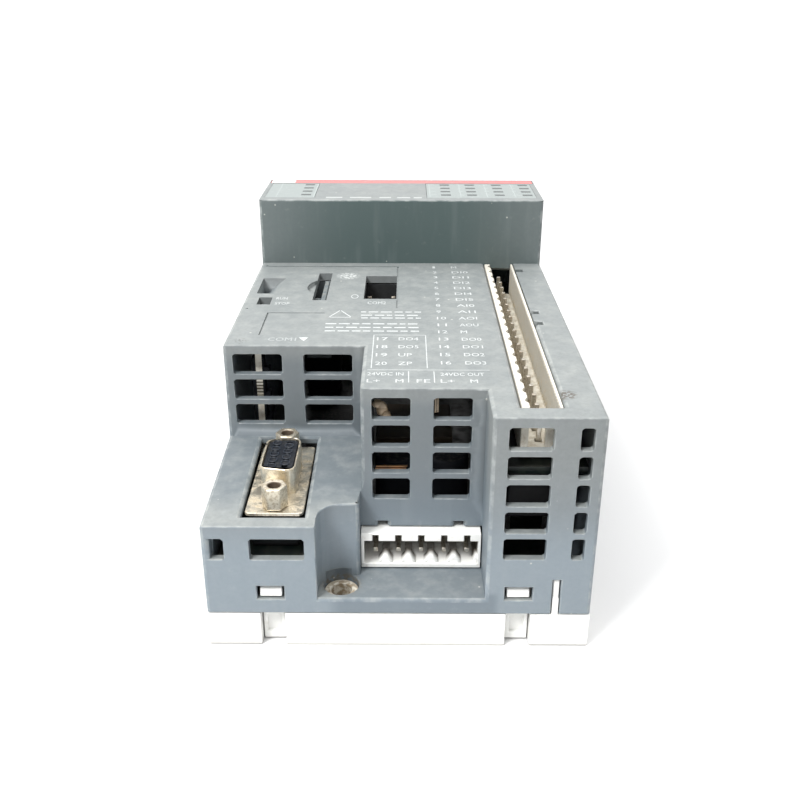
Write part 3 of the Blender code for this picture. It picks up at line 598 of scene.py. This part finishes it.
def refined(node, materials, radius_mm, weight=plain_weight, segments=2, smooth=30.0, windows=False):
    """A finer copy of a CAD node, with rounded edges, that stands for it."""
    source = NODES[node]
    bm = bmesh.new()
    bm.from_mesh(source.data)
    bmesh.ops.remove_doubles(bm, verts=bm.verts, dist=0.002 * MM)
    bmesh.ops.dissolve_degenerate(bm, edges=bm.edges, dist=0.002 * MM)
    flat = math.radians(0.6)
    bmesh.ops.dissolve_limit(bm, angle_limit=flat, verts=bm.verts, edges=bm.edges)
    for face in bm.faces:
        face.material_index = 0
    if windows:
        round_windows(bm)
    key = bm.edges.layers.float.new("bevel_weight_edge")
    for edge in bm.edges:
        if len(edge.link_faces) == 2 and edge.calc_face_angle_signed() > math.radians(32.0):
            edge[key] = weight(edge)
    mesh = bpy.data.meshes.new(node + "_fine")
    bm.to_mesh(mesh)
    bm.free()
    mesh.materials.clear()
    for material in materials:
        mesh.materials.append(material)
    for face in mesh.polygons:
        face.material_index = 1 if face.material_index == WINDOW else 0
    mesh.shade_smooth()
    obj = new_object(node + "_fine", mesh)
    round_off = obj.modifiers.new("round_off", "BEVEL")
    round_off.width = radius_mm * MM
    round_off.segments = segments
    round_off.limit_method = "WEIGHT"
    round_off.use_clamp_overlap = False
    round_off.material = len(materials) - 1
    round_off.miter_outer = "MITER_ARC"
    mesh.set_sharp_from_angle(angle=math.radians(smooth))
    even = obj.modifiers.new("even_normals", "WEIGHTED_NORMAL")
    even.keep_sharp = True
    fine = baked(obj, node + "_fine")
    adopt(fine, source["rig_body"])
    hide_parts(node)
    return fine


def adopt(piece, body):
    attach(piece, body)
    return piece


ROW_INPUTS = [("Count", "NodeSocketInt"), ("First", "NodeSocketVector")]
ROW_INPUTS += [("Step", "NodeSocketVector"), ("Size", "NodeSocketVector")]
ROW_INPUTS += [("Finish", "NodeSocketMaterial")]


def repeat_tree():
    """Geometry nodes: a row of equal blocks, as one mesh."""
    tree = bpy.data.node_groups.new("block_row", "GeometryNodeTree")
    face = tree.interface
    face.new_socket("Geometry", in_out="OUTPUT", socket_type="NodeSocketGeometry")
    for name, kind in ROW_INPUTS:
        face.new_socket(name, in_out="INPUT", socket_type=kind)
    start = tree.nodes.new("NodeGroupInput")
    end = tree.nodes.new("NodeGroupOutput")
    line = tree.nodes.new("GeometryNodeMeshLine")
    cube = tree.nodes.new("GeometryNodeMeshCube")
    place = tree.nodes.new("GeometryNodeInstanceOnPoints")
    real = tree.nodes.new("GeometryNodeRealizeInstances")
    paint = tree.nodes.new("GeometryNodeSetMaterial")
    wires = [(start.outputs["Count"], line.inputs["Count"]), (start.outputs["First"], line.inputs[2])]
    wires += [(start.outputs["Step"], line.inputs["Offset"]), (start.outputs["Size"], cube.inputs["Size"])]
    wires += [(line.outputs[0], place.inputs["Points"]), (cube.outputs[0], place.inputs["Instance"])]
    wires += [(place.outputs[0], real.inputs[0]), (real.outputs[0], paint.inputs["Geometry"])]
    wires += [(start.outputs["Finish"], paint.inputs["Material"]), (paint.outputs[0], end.inputs[0])]
    for one, two in wires:
        tree.links.new(one, two)
    return tree


ROW_TREE = repeat_tree()


def block_row(name, count, first, step, size, material):
    """A row of blocks, in millimetres, made by the shared node tree."""
    obj = new_object(name, bpy.data.meshes.new(name))
    rows = obj.modifiers.new("rows", "NODES")
    rows.node_group = ROW_TREE
    values = [count, Vector(first) * MM, Vector(step) * MM, Vector(size) * MM, material]
    wanted = dict(zip([label for label, _ in ROW_INPUTS], values))
    for item in ROW_TREE.interface.items_tree:
        if item.in_out == "INPUT":
            rows[item.identifier] = wanted[item.name]
    return single_finish(baked(obj, name), material)


def single_finish(obj, material):
    """Leaves one material slot on the piece."""
    obj.data.materials.clear()
    obj.data.materials.append(material)
    for face in obj.data.polygons:
        face.material_index = 0
    return obj


def joined(name, pieces, body):
    """Joins loose pieces into one object that rides on a body."""
    bm = bmesh.new()
    materials = []
    for piece in pieces:
        first = len(bm.faces)
        bm.from_mesh(piece.data)
        for material in piece.data.materials:
            if material not in materials:
                materials.append(material)
        index = materials.index(piece.data.materials[0])
        bm.faces.ensure_lookup_table()
        for face in bm.faces[first:]:
            face.material_index = index
        bpy.data.objects.remove(piece, do_unlink=True)
    mesh = bpy.data.meshes.new(name)
    bm.to_mesh(mesh)
    bm.free()
    for material in materials:
        mesh.materials.append(material)
    return adopt(new_object(name, mesh), body)


def lettering(text, x, y, width, height, z, material):
    """Flat letters whose box starts at x, y and is width by height, in millimetres."""
    curve = bpy.data.curves.new("letters", "FONT")
    curve.body = text
    curve.resolution_u = 2
    curve.extrude = 0.5 * INK
    obj = new_object("letters", curve)
    piece = baked(obj, "letters_" + text.replace(" ", "_").replace("+", "p"))
    xs = [v.co.x for v in piece.data.vertices]
    ys = [v.co.y for v in piece.data.vertices]
    zs = [v.co.z for v in piece.data.vertices]
    wide, tall, thick = max(xs) - min(xs), max(ys) - min(ys), max(zs) - min(zs)
    shift = Matrix.Translation((-min(xs), -min(ys), -min(zs)))
    scale = Matrix.Diagonal((width * MM / wide, height * MM / tall, INK * MM / thick, 1.0))
    piece.data.transform(Matrix.Translation((x * MM, y * MM, z * MM)) @ scale @ shift)
    piece.data.materials.append(material)
    return piece


def bar(x0, y0, x1, y1, z, material):
    """A flat printed bar between two corners, in millimetres."""
    size = (x1 - x0, y1 - y0, INK)
    middle = ((x0 + x1) / 2, (y0 + y1) / 2, z + INK / 2)
    return block_row("bar", 1, middle, (0, 0, 0), size, material)


def polygon(points, z, material):
    """A flat printed patch with straight sides."""
    bm = bmesh.new()
    low = [bm.verts.new((x * MM, y * MM, z * MM)) for x, y in points]
    face = bm.faces.new(low)
    made = bmesh.ops.extrude_face_region(bm, geom=[face])
    top = [item for item in made["geom"] if isinstance(item, bmesh.types.BMVert)]
    bmesh.ops.translate(bm, vec=(0, 0, INK * MM), verts=top)
    bmesh.ops.recalc_face_normals(bm, faces=bm.faces)
    mesh = bpy.data.meshes.new("patch")
    bm.to_mesh(mesh)
    bm.free()
    mesh.materials.append(material)
    return new_object("patch", mesh)


SIGNALS = ["M", "DI0", "DI1", "DI2", "DI3", "DI4", "DI5", "AI0", "AI1", "AOI", "AOU"]
SIGNALS += ["M", "DO0", "DO1", "DO2", "DO3"]
ROW_Y = 33.8
ROW_PITCH = 4.93
BOXED_ROW_Y = -25.3
BOXED_ROW_PITCH = 5.1
LETTER = 1.9
LINE = 0.19
ZERO_MARK = (-12.2, 7.4)


def terminal_rows(z, ink):
    """Terminal numbers and signal names beside the long header."""
    pieces = []
    for i, signal in enumerate(SIGNALS):
        y = ROW_Y - ROW_PITCH * i
        digits = str(i + 1)
        wide = 0.7 if digits == "1" else 1.15 * len(digits)
        pieces.append(lettering(digits, 9.2, y, wide, LETTER, z, ink))
        pieces.append(lettering(signal, 14.6, y, 1.55 * len(signal), LETTER, z, ink))
    for i, signal in enumerate(["DO4", "DO5", "UP", "ZP"]):
        y = BOXED_ROW_Y - BOXED_ROW_PITCH * i
        number = str(len(SIGNALS) + 1 + i)
        pieces.append(lettering(number, -5.4, y, 2.6, LETTER, z, ink))
        pieces.append(lettering(signal, -0.3, y, 1.55 * len(signal), LETTER, z, ink))
    return pieces


def supply_legend(z, ink):
    """Lines, boxes and legends above the supply header."""
    pieces = [bar(-6.1, -21.7 - LINE, 6.2, -21.7, z, ink), bar(-6.1 - LINE, -42.4, -6.1, -21.7, z, ink)]
    pieces += [bar(6.2 - LINE, -42.4, 6.2, -21.7, z, ink), bar(-7.0, -43.5, 19.6, -43.5 + LINE, z, ink)]
    pieces += [bar(1.9, -50.3, 1.9 + LINE, -44.2, z, ink), bar(7.4, -50.3, 7.4 + LINE, -44.2, z, ink)]
    for text, x, y, wide in [("24VDC IN", -6.9, -46.5, 7.8), ("24VDC OUT", 8.9, -46.6, 9.4),
                             ("L+", -6.9, -50.3, 2.8), ("M", -0.8, -50.3, 1.7), ("FE", 3.7, -50.3, 2.9),
                             ("L+", 8.8, -50.3, 3.0), ("M", 15.1, -50.3, 1.6)]:
        pieces.append(lettering(text, x, y, wide, 1.7, z, ink))
    return pieces


def note_lines(z, ink):
    """Rows of short bars in place of the notice, and an outline triangle."""
    pieces = []
    for row, (x, y, end) in enumerate([(-10.0, -5.4, 5.3), (-9.9, -7.9, 5.3), (-9.8, -10.0, 5.2),
                                       (-18.4, -14.3, 5.2), (-18.3, -16.9, 5.2), (-18.2, -19.4, 5.1)]):
        word = 0
        while x < end - 1.0:
            length = 1.3 + 1.5 * abs(math.sin(2.3 * word + 1.7 * row))
            stop = min(x + length, end)
            pieces.append(bar(x, y, stop, y + 0.62, z, ink))
            x = stop + 0.65
            word += 1
    outer = [(-18.2, -9.4), (-12.0, -9.4), (-15.3, -3.6)]
    for (x0, y0), (x1, y1) in zip(outer, outer[1:] + outer[:1]):
        along = Vector((x1 - x0, y1 - y0))
        side = Vector((-along.y, along.x)).normalized() * 0.3
        points = [(x0, y0), (x1, y1), (x1 + side.x, y1 + side.y), (x0 + side.x, y0 + side.y)]
        pieces.append(polygon(points, z, ink))
    return pieces


def small_legends(z, ink):
    """Switch, port and bay legends on the left of the deck."""
    pieces = [lettering("RUN", -32.9, 4.7, 3.0, 1.7, z, ink)]
    pieces.append(lettering("STOP", -32.8, 0.5, 3.8, 1.7, z, ink))
    faint = print_ink("worn_print", (0.38, 0.40, 0.40), 0.9)
    pieces.append(lettering("COM2", -8.6, 1.1, 4.8, 2.1, z, ink))
    pieces.append(lettering("COM1", -31.1, -26.0, 6.6, 2.2, z, faint))
    pieces.append(polygon([(-24.0, -23.6), (-22.6, -26.0), (-21.7, -23.6)], z, ink))
    outer, inner = oval(ZERO_MARK, 1.0, 1.7), oval(ZERO_MARK, 0.8, 1.36)
    for i in range(len(outer)):
        j = (i + 1) % len(outer)
        pieces.append(polygon([outer[i], outer[j], inner[j], inner[i]], z, ink))
    return pieces


def oval(middle, half_wide, half_tall, steps=12):
    turns = [2 * math.pi * i / steps for i in range(steps)]
    return [(middle[0] + half_wide * math.cos(a), middle[1] + half_tall * math.sin(a)) for a in turns]


def deck_print():
    ink = print_ink("deck_print", (0.56, 0.585, 0.58), 0.7)
    z = DECK + 0.01
    pieces = terminal_rows(z, ink) + supply_legend(z, ink) + note_lines(z, ink)
    pieces += small_legends(z, ink)
    return joined("deck_print", pieces, "module")


LED_ROWS = (60.3, 55.6, 50.9, 46.2)
LED_COLUMNS = (-28.2, 13.2, 20.9, 29.1, 37.3)


def status_marks():
    """Lamp windows and ruled lines on the two films of the head."""
    dark = label_film("lamp_window", (0.05, 0.06, 0.06), (0.08, 0.09, 0.09))
    pale = print_ink("film_print", (0.36, 0.40, 0.39), 0.4)
    z = HEAD - 0.04
    step = (0, LED_ROWS[1] - LED_ROWS[0], 0)
    pieces = []
    for x in LED_COLUMNS:
        first = (x, LED_ROWS[0], z + INK / 2)
        pieces.append(block_row("lamps", 4, first, step, (2.9, 1.7, INK), dark))
    for x in (-36.9, -25.9, 8.3, 17.4, 25.2, 33.4):
        pieces.append(bar(x, 43.0, x + 0.32, 61.8, z, pale))
    for x in (9.6, 17.9, 25.6, 33.8):
        pieces.append(block_row("names", 4, (x, LED_ROWS[0], z), step, (1.5, 0.8, INK), pale))
    return joined("status_marks", pieces, "module")


def head_legend():
    """A plain row of bars near the head's edge, and a plain patch on the stripe."""
    pale = print_ink("head_print", (0.44, 0.46, 0.45), 0.5)
    z = HEAD + 0.005 - INK
    pieces = []
    for x0, x1 in [(-22.0, -17.2), (-15.0, -8.8), (-6.4, -3.0), (-1.2, 2.6), (3.6, 6.0)]:
        pieces.append(bar(x0, 41.6, x1, 42.9, z, pale))
    patch = print_ink("stripe_patch", (0.66, 0.67, 0.66), 0.15)
    pieces.append(bar(-40.6, 63.1, -33.2, 66.8, HEAD - 0.04, patch))
    return joined("head_print", pieces, "module")


def all_nodes():
    """Each CAD node gets its finish; all but boards, chips, hardware, guides and stripe a finer mesh."""
    # The sill copy, inside the windows, paints the up-facing sills near-white: dust plus painted light.
    cover = [housing_plastic("housing_grey", 0.0, 0.0), housing_plastic("housing_sill", 0.05, 1.0)]
    # The edge copy, on the rounded edges, is paler: edge wear plus a painted edge highlight.
    cover.append(housing_plastic("housing_edge", 0.24, 0.15))
    tray = [tray_plastic("tray_white", 0.0), tray_plastic("tray_edge", 0.1)]
    cream = aged_cream("terminal_cream", 0.5)
    white = white_terminal("terminal_white")
    tin = plated_metal("tinned_pin", (0.55, 0.52, 0.46), (0.26, 0.20, 0.13), 0.8)
    nickel = plated_metal("port_nickel", (0.80, 0.74, 0.62), (0.50, 0.42, 0.29), 0.85, 0.3, 0.5)
    steel = plated_metal("screw_steel", (0.55, 0.55, 0.54), (0.35, 0.33, 0.3), 0.4)
    gold = plated_metal("contact_gold", (0.83, 0.62, 0.26), (0.5, 0.36, 0.16), 0.3, 0.22)
    insert = dark_plastic("port_insert", (0.004, 0.006, 0.010), 0.04, 0.45, 0.2)
    black = dark_plastic("socket_black", (0.008, 0.009, 0.010), 0.12)
    sleeve = dark_plastic("can_sleeve", (0.005, 0.006, 0.009), 0.1, 0.5, 0.2)
    relay = dark_plastic("relay_case", (0.006, 0.006, 0.007), 0.1, 0.5, 0.2)
    board = circuit_board("board_green")
    film = label_film("panel_film", (0.25, 0.285, 0.28), (0.29, 0.325, 0.315))
    red = label_film("stripe_red", (0.68, 0.13, 0.13), (0.74, 0.19, 0.18))
    clear = clear_plastic("guide_clear")
    refined("top_cover", cover, 1.0, cover_weight, 3, windows=True)
    refined("base_shell", tray, 1.0, base_weight, 2)
    refined("rail_latch_left", tray, 0.25)
    refined("rail_latch_right", tray, 0.25)
    refined("run_stop_slider", [dark_plastic("slider_grey", (0.07, 0.08, 0.085), 0.2)], 0.2)
    refined("io_header_body", [cream], 0.15)
    refined("supply_header_body", [white], 0.18)
    refined("port_front_shell", [nickel], 0.16, smooth=40.0)
    refined("port_insert", [insert], 0.2, smooth=40.0)
    for node in ("port_jackscrew_near", "port_jackscrew_far"):
        refined(node, [jackscrew_nickel("post_nickel")], 0.3, smooth=35.0)
    for node in ("io_header_pins", "supply_header_pins", "service_socket_contacts"):
        refined(node, [tin], 0.15)
    # The contacts take the insert's near-black finish instead of gold: painted shade in the port's holes.
    refined("port_contacts", [insert], 0.08, smooth=50.0)
    refined("bus_socket_contacts", [gold], 0.08, smooth=50.0)
    for node in ("switch_body", "service_socket_body", "bus_socket_body", "port_bracket"):
        refined(node, [black], 0.2)
    refined("card_slot_guide", [dark_plastic("slot_grey", (0.10, 0.115, 0.12), 0.3)], 0.2)
    wound = wound_tan("wound_brown", (0.07, 0.05, 0.03), (0.035, 0.025, 0.015))
    refined("power_transformer", [wound], 0.25)
    stack = dark_plastic("stack_black", (0.004, 0.005, 0.007), 0.0, 0.6, 0.1)
    refined("stacking_header", [stack], 0.25)
    refined("status_label_left", [film], 0.03)
    refined("status_label_right", [film], 0.03)
    for node in sorted(NODES):
        if node == "head_stripe":
            keep(node, red)
        elif node.startswith("smoothing_capacitor"):
            refined(node, [sleeve], 0.25, smooth=40.0)
        elif node.startswith("output_relay"):
            refined(node, [relay], 0.5)
        elif node.startswith("board_s") or node.startswith("latch_spring"):
            keep(node, steel)
        elif node.endswith("_board"):
            keep(node, board)
        elif node.endswith("_chip"):
            keep(node, black)
        elif node.startswith("light_guide"):
            keep(node, clear)


HOLE_PITCH = 2.74
HOLE_ROWS = ((-1.42, 5), (1.42, 4))


def port_rims(material):
    """A raised ring round each hole of the port's insert."""
    low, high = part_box("port_insert")
    middle = (low + high) / 2
    bm = bmesh.new()
    for across, count in HOLE_ROWS:
        for i in range(count):
            y = middle.y / MM + HOLE_PITCH * (i - (count - 1) / 2)
            ring(bm, middle.x / MM + across, y, high.z / MM + 0.08, 0.95, 0.17)
    return mesh_piece("port_rims", bm, material)


def ring(bm, x, y, z, radius, thick, around=16, section=6):
    """A level ring of round section."""
    loops = []
    for i in range(around):
        a = 2 * math.pi * i / around
        loop = []
        for j in range(section):
            b = 2 * math.pi * j / section
            r = radius + thick * math.cos(b)
            point = Vector((x + r * math.cos(a), y + r * math.sin(a), z + thick * math.sin(b)))
            loop.append(bm.verts.new(point * MM))
        loops.append(loop)
    for i in range(around):
        one, two = loops[i], loops[(i + 1) % around]
        for j in range(section):
            k = (j + 1) % section
            bm.faces.new((one[j], two[j], two[k], one[k]))


def mesh_piece(name, bm, material):
    """Turns a made shape into a smooth piece of the fixed body."""
    bmesh.ops.recalc_face_normals(bm, faces=bm.faces)
    mesh = bpy.data.meshes.new(name)
    bm.to_mesh(mesh)
    bm.free()
    mesh.materials.append(material)
    mesh.shade_smooth()
    mesh.set_sharp_from_angle(angle=math.radians(40.0))
    return adopt(new_object(name, mesh), "module")


HEADER_WALL = 0.6
RIB_COUNT = 66
RIB_PITCH = 1.5
RIB_FOOT = 47.0


def header_ribs(material):
    """Thin upright ribs on the inner face of the long header's outer wall."""
    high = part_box("io_header_body")[1]
    inner = high.x / MM - HEADER_WALL
    top = high.z / MM - 0.5
    first = (inner - 0.08, 37.2, (RIB_FOOT + top) / 2)
    size = (0.16, 0.35, top - RIB_FOOT)
    ribs = block_row("header_ribs", RIB_COUNT, first, (0, -RIB_PITCH, 0), size, material)
    return adopt(ribs, "module")


SUPPLY_MIDDLE = 5.0
SUPPLY_PITCH = 5.08
SUPPLY_PINS = 5
MOUTH_FLOOR = 13.55


def supply_teeth(material):
    """White wedge teeth between the supply pins, at the mouth's lower edge."""
    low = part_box("supply_header_body")[0]
    bm = bmesh.new()
    floor, top = MOUTH_FLOOR, MOUTH_FLOOR + 2.0
    for i in range(SUPPLY_PINS):
        x = SUPPLY_MIDDLE + SUPPLY_PITCH * (i - 2) + 2.3
        wide = 1.9 if x < 16.0 else 1.1
        outline = [(x - wide, floor), (x + wide * 0.9, floor), (x + 0.4, top), (x - 0.4, top)]
        front = [bm.verts.new((px * MM, low.y + 0.25 * MM, pz * MM)) for px, pz in outline]
        face = bm.faces.new(front)
        made = bmesh.ops.extrude_face_region(bm, geom=[face])
        back = [item for item in made["geom"] if isinstance(item, bmesh.types.BMVert)]
        bmesh.ops.translate(bm, vec=(0, 3.2 * MM, 0), verts=back)
    bmesh.ops.bevel(bm, geom=list(bm.edges), offset=0.3 * MM, segments=2, profile=0.5, affect="EDGES")
    return mesh_piece("supply_teeth", bm, material)


def lump(bm, middle, radii):
    """A rounded blob of coil varnish or glue, a little uneven."""
    made = bmesh.ops.create_icosphere(bm, subdivisions=3, radius=1.0)
    for vert in made["verts"]:
        p = vert.co
        swell = 1.0 + 0.12 * math.sin(4.0 * p.x + 2.0 * p.z) * math.cos(3.0 * p.y)
        vert.co = Vector([(c + r * q * swell) * MM for c, r, q in zip(middle, radii, p)])


def inner_parts(tan, copper):
    """Coil ends, wires and glue that show through the vents of the middle block."""
    bm = bmesh.new()
    lump(bm, (-3.7, -45.0, 46.6), (1.3, 1.2, 1.7))
    lump(bm, (-2.9, -45.6, 45.4), (1.2, 1.1, 1.1))
    lump(bm, (-4.8, -44.8, 47.8), (1.2, 1.2, 0.9))
    mesh_piece("coil_knot", bm, tan)
    strip = block_row("coil_tapes", 2, (7.9, -47.0, 49.6), (0.5, 0.15, 0.0), (0.4, 0.5, 5.6), tan)
    adopt(strip, "module")
    bars = block_row("copper_bars", 2, (-1.9, -45.3, 31.9), (0.2, 0.35, 0.42), (7.0, 0.5, 0.34), copper)
    adopt(bars, "module")


def stack_strip(cream, dark):
    """The pale edge strip of the stacked socket behind the left vents, with its fine dark bands."""
    low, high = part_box("stacking_header")
    x, y = high.x / MM - 2.5, low.y / MM + 0.05
    tall = high.z / MM - low.z / MM + 2.6
    middle = low.z / MM + 0.2 + tall / 2
    strip = block_row("stack_edge", 1, (x, y, middle), (0, 0, 0), (1.5, 0.3, tall), cream)
    bands = block_row("stack_bands", 7, (x, y - 0.16, 39.4), (0, 0, 0.85), (1.5, 0.06, 0.3), dark)
    adopt(strip, "module")
    adopt(bands, "module")


def keep(node, material):
    """The CAD node itself stays, in its finish."""
    for place in NODES[node].material_slots:
        place.link = "OBJECT"
        place.material = material


def stage():
    """A wide white floor under the object, most of it behind."""
    size = (12000.0, 12000.0, 10.0)
    floor = block_row("floor", 1, (0, 3000.0, -5.0), (0, 0, 0), size, paper_white("paper"))


CEILING = 3.1
CEILING_FOCUS = 3.0
BACK_WALL = 1.1
AMBIENT = 0.05


def sky():
    """Soft studio light: a bright ceiling, and a bright wall behind the object."""
    world = bpy.data.worlds.new("studio")
    bpy.context.scene.world = world
    world.use_nodes = True
    tree = world.node_tree
    look = tree.nodes.new("ShaderNodeTexCoord")
    split = tree.nodes.new("ShaderNodeSeparateXYZ")
    tree.links.new(split.inputs[0], look.outputs["Generated"])

    def sums(operation, a, b):
        node = tree.nodes.new("ShaderNodeMath")
        node.operation = operation
        for i, value in enumerate((a, b)):
            if isinstance(value, float):
                node.inputs[i].default_value = value
            else:
                tree.links.new(node.inputs[i], value)
        return node.outputs[0]

    up = sums("POWER", sums("MAXIMUM", split.outputs["Z"], 0.0), CEILING_FOCUS)
    behind = sums("POWER", sums("MAXIMUM", split.outputs["Y"], 0.0), 2.0)
    strength = sums("ADD", sums("MULTIPLY", up, CEILING), sums("MULTIPLY", behind, BACK_WALL))
    background = tree.nodes["Background"]
    background.inputs["Color"].default_value = (1.0, 1.0, 1.0, 1.0)
    tree.links.new(background.inputs["Strength"], sums("ADD", strength, AMBIENT))


def lamp(name, place, aim, size, power):
    light = bpy.data.lights.new(name, "AREA")
    light.energy = power
    light.size = size
    obj = bpy.data.objects.new(name, light)
    obj.location = place
    obj.rotation_euler = (Vector(aim) - Vector(place)).to_track_quat("-Z", "Y").to_euler()
    bpy.context.scene.collection.objects.link(obj)


CAMERA_AT = Vector((1.018, -234.110, 134.669)) * MM
CAMERA_DOWN = 0.426511
CAMERA_SIDE = -0.004578
CAMERA_ROLL = 0.002320


def camera():
    """Just above the near end, looking down along the object."""
    data = bpy.data.cameras.new("camera")
    data.sensor_width = 36.0
    data.lens = 42.638
    data.clip_start = 0.01
    obj = bpy.data.objects.new("camera", data)
    bpy.context.scene.collection.objects.link(obj)
    down, side = CAMERA_DOWN, CAMERA_SIDE
    ahead = Vector((math.sin(side) * math.cos(down), math.cos(side) * math.cos(down), -math.sin(down)))
    right = Vector((math.cos(side), -math.sin(side), 0.0))
    up = right.cross(ahead)
    turn = Matrix.Rotation(-CAMERA_ROLL, 3, ahead)
    right, up = turn @ right, turn @ up
    axes = Matrix((right, up, -ahead)).transposed().to_4x4()
    obj.matrix_world = Matrix.Translation(CAMERA_AT) @ axes
    bpy.context.scene.camera = obj


camera()
all_nodes()
port_rims(dark_plastic("rim_black", (0.016, 0.020, 0.028), 0.0, 0.12, 0.9))
# The ribs take a darker, dirtier copy of the cream: painted shade between the ribs of the wall.
header_ribs(aged_cream("rib_cream_painted_shade", 1.0, 0.5))
supply_teeth(white_terminal("tooth_white"))
coil_tan = wound_tan("coil_tan", (0.75, 0.60, 0.44), (0.55, 0.42, 0.28))
inner_parts(coil_tan, plated_metal("copper_bar", (0.45, 0.25, 0.13), (0.30, 0.20, 0.12), 0.6))
stack_strip(aged_cream("strip_cream", 0.5), dark_plastic("band_brown", (0.05, 0.04, 0.02), 0.0))
deck_print()
status_marks()
head_legend()
stage()
sky()
lamp("key", (-0.32, -0.38, 0.56), (0.0, 0.0, 0.03), 0.2, 4.8)
lamp("fill", (-0.05, -0.48, 0.27), (0.0, -0.03, 0.03), 0.3, 0.2)
bpy.context.scene.view_settings.view_transform = "Standard"
